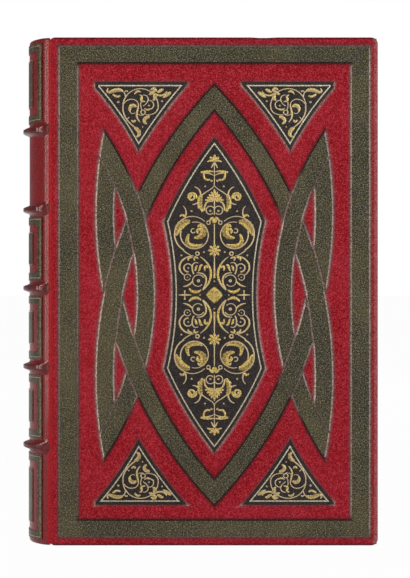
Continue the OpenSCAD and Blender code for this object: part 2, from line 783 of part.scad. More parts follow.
// What stands on the plaque's long axis, above its middle
module centre_axis_half() {
    stem(49.6, 60.3);
    stem(36.2, 46, 0.5, 0.8);
    stem(22, 32.2, 0.7, 0.5);
    stem(7.6, 17.4, 1, 0.5);
    dot([0, 33.6], 1.3);
    dot([0, 20.1], 1.8);
    for (a = [0 : 60 : 300]) stroke([for (r = [1.2, 1.8, 2.4, 2.9]) [0, 20.1] + r * [sin(a), cos(a)]],
        [0.6, 1.2, 0.4], 2);
    dot([0, 6.2]);
}

// Gilding is kept a tooled line's width clear of the silver line round it
line_inner_edge = line_inset + line_w + tooled_gap;

module centre_gilding() {
    diamond = 3.7;
    $unit = centre_unit;
    color(gold) flat_on(-1, gilding_level, gilding_t) at_design_centre() intersection() {
        union() {
            four_ways() centre_quarter();
            both_sides() centre_side();
            centre_axis_half();
            mirror([0, 1]) centre_axis_half();
            drawn([[0, diamond], [diamond, 0], [0, -diamond], [-diamond, 0]]);
        }
        centre_drawing(line_inner_edge);
    }
}

// The ring scroll of a corner plaque, with the tail that ends in a comma leaf
module corner_ring() {
    scroll([0.2, -11.1], [8, 8], -6, 196, [0.6, 0.6], 13);
    stroke([[-7.8, -11.4], [-7.4, -13.8], [-5.6, -15.3], [-2, -14.8]], [0.6, 0.6, 0.4]);
    stroke([[8.2, -11.4], [8.3, -15], [6.6, -17.8], [2.8, -20.6]], [0.6, 0.7, 0.7], 5);
    stroke([[5.3, -16], [5.9, -16.5], [6.4, -17], [7, -17.5]], [0.6, 0.5, 0.5], 2);
    stroke([[3.1, -20.9], [1.4, -21], [-0.4, -24], [2.1, -24.9]], [1, 1.9, 0.7], 6);
}

// The leaves in the two upper corners
module corner_leaves() {
    stroke([[7, -7], [7.1, -5.6], [7.6, -4.6], [8.4, -4.3]], [0.6, 0.6, 0.5], 3);
    stroke([[7.5, -4.7], [7, -4], [6.4, -3.9], [6.1, -4.5]], [0.5, 0.7, 0.8], 3);
    stroke([[8, -4.6], [9.2, -3.2], [11.8, -3.6], [14.6, -5]], [0.5, 1.9, 1.2], 5);
    stroke([[12.8, -5.6], [11.6, -6.8], [10.2, -7.1], [9.5, -6.2]], [0.9, 1.1, 0.8]);
    stroke([[14.2, -4.8], [15.5, -5], [15.6, -3.8], [14.8, -3]], [0.9, 0.9, 0.6], 3);
    stroke([[-13.6, -4.8], [-12.6, -5], [-11.4, -6.6], [-9.8, -7.1]], [0.8, 1.6, 0.5]);
    stroke([[-10.2, -3.7], [-9, -3.2], [-8.6, -4.8], [-7.2, -4.6]], [0.6, 1.5, 0.7]);
    stroke([[-11.6, -4.4], [-10.6, -6.4], [-8.4, -6.8], [-6.3, -5.5]], [0.6, 0.9, 0.9], 5);
    stroke([[-6.9, -4.4], [-6.6, -2.9], [-5.2, -2.6], [-4.4, -3.8]], [0.8, 1.3, 0.5]);
    stroke([[-6.4, -4.3], [-5.4, -4.4], [-4.6, -5.6], [-3.5, -5.7]], [0.9, 1.6, 0.5]);
    stroke([[-6.9, -5.6], [-5.6, -5.8], [-7, -7.6], [-5.3, -8.4]], [1, 1.9, 0.7]);
}

// The scrolls, stems and sprigs inside the ring
module corner_sprigs() {
    scroll([-3.7, -10.5], [2.1, 1.9], 62, 218, [0.5, 0.7], 7);
    stroke([[-3.9, -12.4], [-3, -12.9], [-2.2, -12.7], [-1.5, -12]], [0.8, 0.9, 0.4], 3);
    dot([-3.6, -10.8], 0.7);
    stroke([[-0.9, -6], [-3.4, -5.8], [-4.6, -8.8], [-0.9, -11]], [0.5, 0.6, 0.5], 5);
    stroke([[0.6, -6], [-2, -6.6], [2, -8.8], [-1.9, -9]], [0.6, 1.2, 0.6], 5);
    stroke([[0, -9.2], [0.4, -10.6], [0, -11.8], [-0.4, -12.8]], [0.6, 0.5, 0.6], 3);
    scroll([-0.9, -13.8], [1, 1], 90, 350);
    stroke([[1.2, -9.9], [0.8, -12.4], [3.6, -15.2], [0.4, -18.3]], [0.5, 0.9, 0.5], 6);
    stroke([[-1.2, -14.9], [-0.4, -15.4], [1, -15.3], [1.8, -14.2]], [0.5, 0.5, 0.4], 3);
    stroke([[1.2, -10.2], [1.7, -7.2], [6.3, -7.1], [7.8, -10]], [0.5, 0.6, 0.5], 5);
    stroke([[2.2, -11.5], [3.2, -9.8], [6, -11.2], [4.9, -13.6]], [0.8, 1.9, 0.6], 5);
    stroke([[4.9, -13.4], [4.7, -14.4], [3.5, -14.7], [2.7, -14]], [0.5, 0.5, 0.4], 3);
    stroke([[-3.9, -15.9], [-2.2, -15.5], [0, -18], [-2.6, -19]], [1.2, 1.7, 0.8], 5);
    stroke([[2.6, -17.3], [3, -18.4], [3.9, -18.2], [4.2, -17.3]], [0.8, 1, 0.7], 3);
    stroke([[0.2, -4.7], [1.4, -3.9], [2.4, -4.4], [2.9, -5.7]], [0.6, 1.1, 0.4], 3);
}

module corner_ornament() {
    corner_ring();
    corner_leaves();
    corner_sprigs();
    dot([-9.5, -8.8], 0.7);
    dot([10.3, -9.2], 0.8);
    dot([-0.7, -20.4]);
}

module corner_gilding(i) {
    $unit = corner_unit(corner_way(i));
    color(gold) flat_on(-1, gilding_level, gilding_t) intersection() {
        at_corner(i) corner_ornament();
        at_design_centre() corner_drawing(corner_side(i), corner_way(i), line_inner_edge);
    }
}

text_block();
flyleaf(-1);  // front_flyleaf
flyleaf(1);  // back_flyleaf
spine_lining();
sewing_cords();
head_endband();
tail_endband();
spine_leather();
for (i = [1, 3, 4, 5, 6]) spine_panel(i);
board(-1);  // front_board
cover_leather(-1);  // front_leather
pastedown(-1);  // front_pastedown
board(1);  // back_board
cover_leather(1);  // back_leather
pastedown(1);  // back_pastedown
border_strap();
upper_diamond_strap();
lower_diamond_strap();
bow_strap(-1);  // left_bow_strap
bow_strap(1);  // right_bow_strap
centre_plaque();
centre_line();
centre_gilding();
for (i = [1 : 4]) corner_plaque(i);
for (i = [1 : 4]) corner_line(i);
for (i = [1 : 4]) corner_gilding(i);
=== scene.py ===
"""An antique book in red goatskin with green and black onlays, standing on its tail edges.

The front cover faces -Y, the spine is at -X and the head at +Z. Sizes are in millimetres, as in the
part's source, and become metres when a mesh is made. A level is a distance outward from the middle
plane of the pages.
"""

import math

import bpy
import numpy as np
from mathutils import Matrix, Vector, noise
from mathutils.geometry import tessellate_polygon


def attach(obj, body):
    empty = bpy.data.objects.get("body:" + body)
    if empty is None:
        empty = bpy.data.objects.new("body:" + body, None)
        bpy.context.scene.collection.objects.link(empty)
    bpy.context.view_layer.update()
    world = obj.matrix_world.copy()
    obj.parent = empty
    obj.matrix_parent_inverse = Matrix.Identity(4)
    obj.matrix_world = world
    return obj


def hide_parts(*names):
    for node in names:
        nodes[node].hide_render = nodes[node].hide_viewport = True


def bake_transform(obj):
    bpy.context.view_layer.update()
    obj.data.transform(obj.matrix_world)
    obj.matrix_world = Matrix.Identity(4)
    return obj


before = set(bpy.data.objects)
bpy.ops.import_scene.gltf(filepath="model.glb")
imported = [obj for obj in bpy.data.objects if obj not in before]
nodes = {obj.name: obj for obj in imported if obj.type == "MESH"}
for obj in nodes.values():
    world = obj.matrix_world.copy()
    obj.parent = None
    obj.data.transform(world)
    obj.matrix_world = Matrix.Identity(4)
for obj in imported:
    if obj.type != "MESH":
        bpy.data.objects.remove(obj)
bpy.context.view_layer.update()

MM = 0.001

# Driving sizes, as in the part's source
COVER_H = 230.0
COVER_W = 148.0
BOARD_T = 3.0
LEATHER_T = 0.6
TURN_IN_T = 0.4
TURN_IN_W = 12.0
EDGE_R = 1.1
TEXT_T = 30.4
FLYLEAF_T = 0.3
SWING_GAP = 0.3
JOINT_GAP = 0.4
JOINT_DROP = 0.4
SPINE_BULGE = 11.0
BAND_H = 2.9
BAND_COUNT = 5
HEAD_PANEL_H = 41.5
TAIL_PANEL_H = 44.5
CAP_T = 1.2
ONLAY_T = 0.4
PLAQUE_T = 0.28
DESIGN_DROP = 1.6

# How far the front's leather swells between the onlays that are pressed into it
FIELD_SWELL = 0.15

# Places along the width, from the fore edge to the spine's tip
FORE_X = (BAND_H + SPINE_BULGE + JOINT_GAP + COVER_W) / 2
HINGE_X = FORE_X - COVER_W
COVER_MID_X = HINGE_X + COVER_W / 2
SPINE_EDGE_X = HINGE_X - JOINT_GAP
SPINE_TIP_X = SPINE_EDGE_X - SPINE_BULGE

# Levels
INNER_LEVEL = TEXT_T / 2 + FLYLEAF_T + SWING_GAP
BOARD_LEVEL = INNER_LEVEL + TURN_IN_T
BACK_LEVEL = BOARD_LEVEL + BOARD_T + LEATHER_T
FIELD_LEVEL = BACK_LEVEL + FIELD_SWELL
PLAQUE_LEVEL = BACK_LEVEL + PLAQUE_T
ONLAY_LEVEL = BACK_LEVEL + ONLAY_T
MID_Y = ONLAY_T / 2

# Heights
DESIGN_MID_Z = COVER_H / 2 - DESIGN_DROP
BAND_PITCH = (COVER_H - HEAD_PANEL_H - TAIL_PANEL_H) / (BAND_COUNT - 1)
BAND_ZS = [COVER_H - HEAD_PANEL_H - i * BAND_PITCH for i in range(BAND_COUNT)]


def arc_radius(half_chord, rise):
    return (half_chord**2 + rise**2) / (2 * rise)


# The round of the spine and of its bands: arcs through the tip and both joints
SPINE_HALF_T = BACK_LEVEL - JOINT_DROP
SPINE_R = arc_radius(SPINE_HALF_T, SPINE_BULGE)
SPINE_AXIS_X = SPINE_TIP_X + SPINE_R
BAND_R = arc_radius(SPINE_HALF_T, SPINE_BULGE + BAND_H)
BAND_AXIS_X = SPINE_TIP_X - BAND_H + BAND_R


# Camera

CAMERA_PLACE = (2.9, -819.6, 116.1)
CAMERA_LENS = 110.2

cam = bpy.data.objects.new("camera", bpy.data.cameras.new("camera"))
bpy.context.scene.collection.objects.link(cam)
cam.location = [c * MM for c in CAMERA_PLACE]
cam.rotation_euler = (math.pi / 2, 0, 0)
cam.data.sensor_width = 36
cam.data.lens = CAMERA_LENS
bpy.context.scene.camera = cam
bpy.context.scene.view_settings.view_transform = "Standard"


# Shader helpers


def srgb(r, g, b):
    return tuple(
        (c / 255 / 12.92 if c <= 10 else ((c / 255 + 0.055) / 1.055) ** 2.4)
        for c in (r, g, b)
    ) + (1.0,)


class Shader:
    """A material's node tree, built with short calls."""

    def __init__(self, name):
        self.material = bpy.data.materials.new(name)
        self.material.use_nodes = True
        self.tree = self.material.node_tree
        self.bsdf = self.tree.nodes["Principled BSDF"]
        self.place = self.add("ShaderNodeTexCoord").outputs["Object"]

    def add(self, kind, **settings):
        node = self.tree.nodes.new(kind)
        for key, value in settings.items():
            setattr(node, key, value)
        return node

    def put(self, socket, value):
        if isinstance(value, bpy.types.NodeSocket):
            self.tree.links.new(value, socket)
        else:
            socket.default_value = value

    def stretch(self, scale):
        node = self.add("ShaderNodeMapping")
        self.put(node.inputs["Vector"], self.place)
        node.inputs["Scale"].default_value = scale
        return node.outputs[0]

    def noise(self, scale, detail=3.0, rough=0.55, place=None):
        node = self.add("ShaderNodeTexNoise")
        self.put(node.inputs["Vector"], place or self.place)
        node.inputs["Scale"].default_value = scale
        node.inputs["Detail"].default_value = detail
        node.inputs["Roughness"].default_value = rough
        return node.outputs["Fac"]

    def cells(self, scale, place):
        node = self.add("ShaderNodeTexVoronoi", feature="DISTANCE_TO_EDGE")
        self.put(node.inputs["Vector"], place)
        node.inputs["Scale"].default_value = scale
        return node.outputs["Distance"]

    def ramp(self, value, low, high, a=0.0, b=1.0):
        node = self.add("ShaderNodeMapRange", interpolation_type="SMOOTHSTEP")
        self.put(node.inputs["Value"], value)
        for key, number in (("From Min", low), ("From Max", high), ("To Min", a), ("To Max", b)):
            node.inputs[key].default_value = number
        return node.outputs["Result"]

    def math(self, operation, a, b):
        node = self.add("ShaderNodeMath", operation=operation)
        self.put(node.inputs[0], a)
        self.put(node.inputs[1], b)
        return node.outputs[0]

    def mix(self, share, a, b):
        node = self.add("ShaderNodeMix", data_type="RGBA")
        self.put(node.inputs["Factor"], share)
        self.put(node.inputs["A"], a)
        self.put(node.inputs["B"], b)
        return node.outputs["Result"]

    def attribute(self, name):
        return self.add("ShaderNodeAttribute", attribute_name=name).outputs["Fac"]

    def bump(self, height, distance):
        node = self.add("ShaderNodeBump")
        self.put(node.inputs["Height"], height)
        node.inputs["Distance"].default_value = distance
        self.put(self.bsdf.inputs["Normal"], node.outputs[0])

    def set(self, **inputs):
        for key, value in inputs.items():
            self.put(self.bsdf.inputs[key.replace("_", " ")], value)
        return self.material


# Detail of the materials, as cells or waves to the metre
PEBBLES = 950
PEBBLE_WANDER = 420
PORES = 1700
CLOUDS = 34
WEAR_AND_SHADE_PATCHES = 700
LINE_SPECKS = 1100
GLOSS_PATCHES = 120
LEAF_BREAKS = 1900
FIBRES = 900
STAINS = 22
SHEETS = 3600


def goatskin(name, base, dark_and_crease_shade, pale_and_glint, rough=0.5, grain=0.0001, gloss=0.16, worn_and_shaded=None, tooled=False):
    """Pebbled leather: rounded grains about 1 mm across, darker creases that are partly painted shade, paler
    specks that are partly painted glints, and mottling.
    """
    s = Shader(name)
    wander = s.add("ShaderNodeVectorMath", operation="MULTIPLY_ADD")
    s.put(wander.inputs[0], s.noise(PEBBLE_WANDER, 2))
    wander.inputs[1].default_value = [1.2 * MM] * 3
    s.put(wander.inputs[2], s.place)
    edge = s.cells(PEBBLES, wander.outputs[0])
    pebble = s.ramp(edge, 0.0, 0.34)
    fine = s.noise(PORES, 2, 0.7)
    broad = s.noise(CLOUDS, 4, 0.6)
    # The darker colour in the creases between grains is partly painted shade, and the paler specks are
    # partly painted glints; the broad clouds are the leather's own mottling
    colour = s.mix(s.ramp(edge, 0.0, 0.22, 0.8, 0.0), base, dark_and_crease_shade)
    colour = s.mix(s.ramp(fine, 0.49, 0.62, 0.0, 1.0), colour, pale_and_glint)
    colour = s.mix(s.ramp(fine, 0.51, 0.4, 0.0, 1.0), colour, dark_and_crease_shade)
    colour = s.mix(s.ramp(broad, 0.4, 0.72, 0.0, 0.22), colour, pale_and_glint)
    colour = s.mix(s.ramp(broad, 0.5, 0.26, 0.0, 0.22), colour, dark_and_crease_shade)
    # Colour darkened by a per-point share, in noisy patches: painted shade on the spine's bands, and darker
    # head and tail edges on the covers
    if worn_and_shaded:
        patchy = s.ramp(s.noise(WEAR_AND_SHADE_PATCHES), 0.25, 0.55)
        colour = s.mix(s.math("MULTIPLY", s.attribute("wear"), patchy), colour, worn_and_shaded)
    # Pressed lines: darkened along their floor, with painted shade spreading beside them, and a pinkish
    # painted highlight in specks; the same highlight gives the painted sheen by the fore edge
    if tooled:
        speck = s.ramp(s.noise(LINE_SPECKS), 0.34, 0.6, 0.35, 1.0)
        colour = s.mix(s.attribute("tone"), colour, LINE_DARK_AND_PAINTED_SHADE)
        colour = s.mix(s.math("MULTIPLY", s.attribute("shine"), speck), colour, LINE_PAINTED_HIGHLIGHT)
    relief = s.math("ADD", s.math("MULTIPLY", pebble, 0.75), s.math("MULTIPLY", fine, 0.35))
    s.bump(relief, grain)
    roughness = s.ramp(s.noise(GLOSS_PATCHES), 0.3, 0.7, rough - 0.07, rough + 0.09)
    return s.set(Base_Color=colour, Roughness=roughness, Specular_IOR_Level=gloss)


# For each leather: its colour, a darker one that is partly painted shade in the creases, and a paler one
# that is partly painted glints
RED = srgb(152, 0, 20)
RED_DARK_AND_CREASE_SHADE = srgb(124, 0, 10)
RED_PALE_AND_GLINT = srgb(174, 44, 60)
GREEN = srgb(50, 46, 20)
GREEN_DARK_AND_CREASE_SHADE = srgb(14, 18, 8)
GREEN_PALE_AND_GLINT = srgb(112, 101, 68)
BLACK = srgb(20, 14, 13)
BLACK_DARK_AND_CREASE_SHADE = srgb(8, 6, 6)
BLACK_PALE_AND_GLINT = srgb(54, 44, 42)
LINE_DARK_AND_PAINTED_SHADE = srgb(34, 16, 14)
LINE_PAINTED_HIGHLIGHT = srgb(196, 168, 160)

red = goatskin("red_goatskin", RED, RED_DARK_AND_CREASE_SHADE, RED_PALE_AND_GLINT,
               rough=0.45, grain=0.00035, gloss=0.14, worn_and_shaded=srgb(64, 0, 10), tooled=True)
# The spine's red is the cover's leather drawn darker: painted shade on the spine
spine_red_shaded = goatskin("spine_goatskin", srgb(108, 0, 12), srgb(86, 0, 8), srgb(132, 16, 22),
                     rough=0.4, grain=0.00014, gloss=0.06, worn_and_shaded=srgb(54, 0, 4))
joint_red = goatskin("joint_goatskin", srgb(138, 0, 16), RED_DARK_AND_CREASE_SHADE, srgb(156, 30, 42),
                     rough=0.45, grain=0.0002, gloss=0.1)
green = goatskin("green_goatskin", GREEN, GREEN_DARK_AND_CREASE_SHADE, GREEN_PALE_AND_GLINT,
                 rough=0.44, grain=0.00034, gloss=0.34)
spine_green = goatskin("spine_green_goatskin", srgb(58, 50, 32), GREEN_DARK_AND_CREASE_SHADE, srgb(96, 84, 62),
                       rough=0.4, grain=0.0002, gloss=0.08)
black = goatskin("black_goatskin", BLACK, BLACK_DARK_AND_CREASE_SHADE, BLACK_PALE_AND_GLINT, grain=0.0001, gloss=0.2)


def polish(material, weight):
    """Handling has polished this leather."""
    bsdf = material.node_tree.nodes["Principled BSDF"]
    bsdf.inputs["Coat Weight"].default_value = weight
    bsdf.inputs["Coat Roughness"].default_value = 0.15


polish(spine_red_shaded, 0.45)
polish(spine_green, 0.3)
polish(joint_red, 0.1)


def metal_leaf(name, light, dark, rough):
    """Metal leaf pressed into leather: thin, dulled and broken by the grain under it."""
    s = Shader(name)
    broken = s.ramp(s.noise(PORES, 3, 0.6), 0.36, 0.62)
    colour = s.mix(broken, dark, light)
    colour = s.mix(s.attribute("pale"), colour, srgb(176, 156, 126))
    # Darkened where the tone attribute is set: dark edges, veins and dulled lines, and painted shade on one
    # side of the broad leaves
    colour = s.mix(s.attribute("tone"), colour, srgb(58, 40, 20))
    s.bump(s.noise(LEAF_BREAKS), 0.00006)
    return s.set(Base_Color=colour, Metallic=0.55, Roughness=rough)


gold = metal_leaf("gold_leaf", srgb(206, 180, 100), srgb(124, 94, 48), 0.42)
silver = metal_leaf("silver_leaf", srgb(196, 186, 160), srgb(130, 118, 96), 0.4)


def paper(name, base, shade, sheeted=False):
    """Aged paper, and where it is sheeted, the edges of many sheets side by side."""
    s = Shader(name)
    fibre = s.noise(FIBRES, 4, 0.6)
    colour = s.mix(s.ramp(fibre, 0.3, 0.7, 0.0, 0.3), base, shade)
    colour = s.mix(s.ramp(s.noise(STAINS, 4), 0.45, 0.75, 0.0, 0.35), colour, shade)
    if sheeted:
        sheets = s.noise(1.0, 2, 0.7, s.stretch((12, SHEETS, 12)))
        colour = s.mix(s.ramp(sheets, 0.35, 0.65, 0.7, 0.0), colour, shade)
        s.bump(sheets, 0.00025)
    else:
        s.bump(fibre, 0.00003)
    return s.set(Base_Color=colour, Roughness=0.85, Specular_IOR_Level=0.2)


page_paper = paper("page_edges", srgb(226, 210, 174), srgb(176, 150, 108), sheeted=True)
end_paper = paper("endpaper", srgb(232, 220, 192), srgb(206, 188, 152))
board_paper = paper("millboard", srgb(150, 132, 106), srgb(112, 96, 74))


def thread(name, light, dark, pitch):
    """Twisted or sewn thread, striped across its length."""
    s = Shader(name)
    wave = s.add("ShaderNodeTexWave", bands_direction="DIAGONAL")
    s.put(wave.inputs["Vector"], s.place)
    wave.inputs["Scale"].default_value = 1 / pitch
    wave.inputs["Distortion"].default_value = 0.6
    stripes = wave.outputs["Fac"]
    s.bump(stripes, 0.00025)
    colour = s.mix(s.ramp(stripes, 0.4, 0.6), dark, light)
    return s.set(Base_Color=colour, Roughness=0.6, Sheen_Weight=0.2)


silk = thread("endband_silk", srgb(214, 190, 140), srgb(132, 22, 34), 0.006)
flax = thread("flax_cord", srgb(196, 174, 132), srgb(128, 104, 70), 0.004)

# Finishes of the CAD's own nodes, by a word in their names
CAD_FINISH = {
    "text_block": page_paper, "flyleaf": end_paper, "pastedown": end_paper, "board": board_paper,
    "spine_lining": board_paper, "cords": flax, "endband": silk, "spine_panel": spine_green,
    "plaque": black, "line": silver,
}
for name, node in nodes.items():
    for word, material in CAD_FINISH.items():
        if word in name:
            for slot in node.material_slots:
                slot.material = material


# Mesh helpers


def front(x, z, level):
    return (x, MID_Y - level, z)


def back(x, z, level):
    return (x, MID_Y + level, z)


def piece(name, verts, faces, material, body=None, slot="red_leather", smooth=True, replaces=(),
          **attributes):
    """Makes an object that rides on a body and stands for some CAD nodes, from a mesh in millimetres."""
    mesh = bpy.data.meshes.new(name)
    mesh.from_pydata([[c * MM for c in v] for v in verts], [], faces)
    mesh.validate()
    mesh.polygons.foreach_set("use_smooth", [smooth] * len(mesh.polygons))
    for key, values in attributes.items():
        mesh.attributes.new(key, "FLOAT", "POINT").data.foreach_set("value", values)
    mesh.materials.append(material)
    obj = bpy.data.objects.new(name, mesh)
    bpy.context.scene.collection.objects.link(obj)
    if body:
        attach(obj, body)
    if replaces:
        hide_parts(*replaces)
    return obj


def grid_faces(rows, cols, start=0, closed=False, flip=False):
    faces = []
    for r in range(rows - 1):
        for c in range(cols if closed else cols - 1):
            a = start + r * cols + c
            b = start + r * cols + (c + 1) % cols
            quad = (a, b, b + cols, a + cols)
            faces.append(quad[::-1] if flip else quad)
    return faces


def spaced(low, high, near, step):
    """Numbers from low to high: those at distances near from both ends, and even steps between."""
    inner = (low + near[-1], high - near[-1])
    count = max(2, round((inner[1] - inner[0]) / step))
    middle = [inner[0] + (inner[1] - inner[0]) * i / count for i in range(1, count)]
    return [low + n for n in near] + middle + [high - n for n in reversed(near)]


# Covers

JOINT_CORNER_R = 1.6
FORE_CORNER_R = 3.0
EDGE_STEPS = [EDGE_R * (1 - math.cos(math.radians(a))) for a in (0, 25, 50, 72, 90)]
COVER_STEP = 3.0
# The cover's face sinks a little toward its sides, over a border, and is never quite even
BORDER_SINK = 0.12
BORDER_SINK_W = 3.0
RIPPLE = 0.04
RIPPLE_LENGTH = 17.0
# A worn nick in the head edge of the front cover
NICK_X = 25.5
NICK_W = 8.0
NICK_DEPTH = 0.45
NICK_REACH = 2.0
# How bright the painted sheen beside the fore edge is
FORE_PAINTED_SHEEN = 0.36
FORE_PAINTED_SHEEN_W = 3.0


def edge_drop(d):
    """How far a rounded edge lies below the face, at a distance d from the cover's side."""
    d = min(max(d, 0.0), EDGE_R)
    return EDGE_R - math.sqrt(max(0.0, EDGE_R**2 - (EDGE_R - d) ** 2))


def corner_radius(x):
    """The radius of the corners on the side of the cover where x is."""
    return FORE_CORNER_R if x > COVER_MID_X else JOINT_CORNER_R


def round_corner(x, z):
    """Moves a point of the cover's square outline on to its rounded corners."""
    r = corner_radius(x)
    cx = min(max(x, HINGE_X + r), FORE_X - r)
    cz = min(max(z, r), COVER_H - r)
    vx, vz = x - cx, z - cz
    length = math.hypot(vx, vz)
    if vx and vz:
        k = max(abs(vx), abs(vz)) / length
        return cx + vx * k, cz + vz * k
    return x, z


def inset_outline(x, z, d):
    """The point a distance d inward from a point of the cover's rounded outline."""
    r = corner_radius(x)
    x, z = round_corner(x, z)
    cx = min(max(x, HINGE_X + r), FORE_X - r)
    cz = min(max(z, r), COVER_H - r)
    k = 1 - d / math.hypot(x - cx, z - cz)
    return cx + (x - cx) * k, cz + (z - cz) * k


def cover_mesh(at, face_level, nick=False):
    """Leather over a board: rounded outer face, edges, and a border turned in on three sides."""
    near = EDGE_STEPS + [1.7, 2.4, 3.4]
    xs = spaced(HINGE_X, FORE_X, near, COVER_STEP)
    zs = spaced(0, COVER_H, near, COVER_STEP)
    verts, wear, shine = [], [], []
    for z in zs:
        for x in xs:
            d = min(x - HINGE_X, FORE_X - x, z, COVER_H - z)
            px, pz = round_corner(x, z)
            if nick and z > COVER_H - NICK_REACH and NICK_X < x < NICK_X + NICK_W:
                near_edge = (z - COVER_H + NICK_REACH) / NICK_REACH
                pz -= NICK_DEPTH * near_edge * math.sin((x - NICK_X) / NICK_W * math.pi)
            level = face_level - BORDER_SINK * (1 - min(d / BORDER_SINK_W, 1)) ** 2 - edge_drop(d)
            ripple = noise.noise(Vector((px / RIPPLE_LENGTH, pz / RIPPLE_LENGTH, face_level)))
            verts.append(at(px, pz, min(level + RIPPLE * ripple, face_level)))
            # Darker toward the head and tail edges
            wear.append(min(max(1.6 - min(z, COVER_H - z) / 0.8, 0.0), 1.0))
            # A painted sheen beside the fore edge of the face
            shine.append(FORE_PAINTED_SHEEN * max(0.0, 1 - (FORE_X - x) / FORE_PAINTED_SHEEN_W))
    rows, cols = len(zs), len(xs)
    faces = grid_faces(rows, cols)
    rim = list(range(cols))
    rim += [r * cols + cols - 1 for r in range(1, rows)]
    rim += [(rows - 1) * cols + c for c in range(cols - 2, -1, -1)]
    rim += [r * cols for r in range(rows - 2, 0, -1)]
    rim_xz = [(xs[i % cols], zs[i // cols]) for i in rim]
    rings = [(0.0, INNER_LEVEL + EDGE_R + 0.4), (0.0, INNER_LEVEL + EDGE_R)]
    rings += [(d, INNER_LEVEL + edge_drop(d)) for d in EDGE_STEPS[1:]]
    rings += [(TURN_IN_W / 2, INNER_LEVEL), (TURN_IN_W, INNER_LEVEL), (TURN_IN_W, BOARD_LEVEL)]
    last = rim
    for d, level in rings:
        start = len(verts)
        for x, z in rim_xz:
            if d <= EDGE_R:
                ix, iz = inset_outline(x, z, d)
            else:
                ix = min(max(x, HINGE_X + EDGE_R), FORE_X - d)
                iz = min(max(z, d), COVER_H - d)
            verts.append(at(ix, iz, level))
            # Half as dark on the rounded edge round the board
            wear.append(0.5 if d < 1 else 0.0)
            shine.append(0.0)
        ring = list(range(start, start + len(rim)))
        n = len(ring)
        faces += [(last[(i + 1) % n], last[i], ring[i], ring[(i + 1) % n]) for i in range(n)]
        last = ring
    return verts, faces, wear, shine


for side, at, level in (("front", front, FIELD_LEVEL), ("back", back, BACK_LEVEL)):
    verts, faces, wear, shine = cover_mesh(at, level, nick=side == "front")
    if side == "back":
        faces = [f[::-1] for f in faces]
    piece(side + "_cover_leather", verts, faces, red, side + "_cover",
          replaces=(side + "_leather",), wear=wear, shine=shine)


# Spine

# Half widths of a band's foot and crown at the spine's middle, and the degrees at which both are widest
FOOT_W = 2.2
CROWN_W = 0.7
SPREAD_AT = 59


def band_reach(a):
    """How far the raised bands stand above the spine leather at an angle from its middle."""
    dx = SPINE_AXIS_X - BAND_AXIS_X
    c = math.cos(a)
    reach = dx * c + math.sqrt(max(0.0, BAND_R**2 - dx**2 * (1 - c * c)))
    return max(0.0, reach - SPINE_R)


def band_shape(a, z):
    """The share of the bands' height at a point: 1 on a crown, 0 beyond a foot. They widen to the joints."""
    near = min(abs(z - b) for b in BAND_ZS)
    spread = (math.degrees(abs(a)) / SPREAD_AT) ** 2
    foot = FOOT_W + 1.5 * spread
    land = CROWN_W + 0.5 * spread
    t = min(max((near - land) / (foot - land), 0.0), 1.0)
    return 1 - t * t * (3 - 2 * t)


SPINE_HALF = math.asin(SPINE_HALF_T / SPINE_R)
SKIN_T = 0.35
SPINE_STEPS = 34
ROW_STEP = 3.0
BAND_ROW_STEP = 0.4
BAND_ROWS = 10
# The cap at an end of the spine: depth under the leather's face, and height above the end
CAP_ROWS = ((4.0, CAP_T), (4.0, 0.25), (2.5, 0.0), (1.2, 0.0), (0.62, 0.14), (0.2, 0.5), (0.0, CAP_T))
# Pressed lines down both sides of the spine: places in degrees, depth, and half width in degrees
SIDE_LINES = (43.0, 47.8, 53.0)
SIDE_LINE_DEPTH = 0.16
SIDE_LINE_SPREAD = 0.7
# Beyond these degrees the cap's ends are a little shorter, and more so toward the joints
SHORT_FROM = 46
SHORT = 0.12
DROOP_FROM = 49
DROOP = 0.9
# Darkening on the crown of a band, painted shade with some wear, and in a ring round its foot, painted shade
# in the crease
CROWN_WEAR_AND_SHADE = 0.8
FOOT_SHADE = 0.9


def spine_heights():
    """Heights of the rows between the caps: close on the bands and wide between them."""
    close = {round(b + k * BAND_ROW_STEP, 3) for b in BAND_ZS for k in range(-BAND_ROWS, BAND_ROWS + 1)}
    clear = BAND_ROW_STEP * BAND_ROWS + 0.6
    wide = {round(z, 3) for z in np.arange(CAP_T + 1.8, COVER_H - CAP_T - 1, ROW_STEP)
            if min(abs(z - b) for b in BAND_ZS) > clear}
    return sorted(close | wide)


def bell(value, middle, spread):
    return math.exp(-(((value - middle) / spread) ** 2))


def spine_mesh():
    """The spine's leather, from the inner lip of one cap to that of the other."""
    angles = [SPINE_HALF * (i / SPINE_STEPS - 1) for i in range(2 * SPINE_STEPS + 1)]
    rows = list(CAP_ROWS) + [(0.0, z) for z in spine_heights()]
    rows += [(depth, COVER_H - z) for depth, z in reversed(CAP_ROWS)]
    verts, wear = [], []
    for depth, z in rows:
        for a in angles:
            degrees = math.degrees(abs(a))
            r = SPINE_R + band_reach(a) * band_shape(a, z)
            if depth == 0:
                r -= sum(SIDE_LINE_DEPTH * bell(degrees, line, SIDE_LINE_SPREAD) for line in SIDE_LINES)
            x = SPINE_AXIS_X - r * math.cos(a) + depth
            droop = DROOP * max(0.0, (degrees - DROOP_FROM) / 10) ** 2
            if degrees > SHORT_FROM:
                droop = max(droop, SHORT)
            in_cap = min(z, COVER_H - z) < CAP_T + 1
            pz = min(max(z, droop), COVER_H - droop) if in_cap else z
            verts.append((min(x, SPINE_EDGE_X), MID_Y - r * math.sin(a), pz))
            # Darker on a band's crown and in a ring round its foot, as painted shade, and darker on the caps
            crown = band_shape(a, z) if depth == 0 else 0.6
            foot = bell(crown, 0.12, 0.1) if crown > 0.01 else 0.0
            wear.append(max(CROWN_WEAR_AND_SHADE * crown, FOOT_SHADE * foot))
    return verts, grid_faces(len(rows), len(angles)), wear


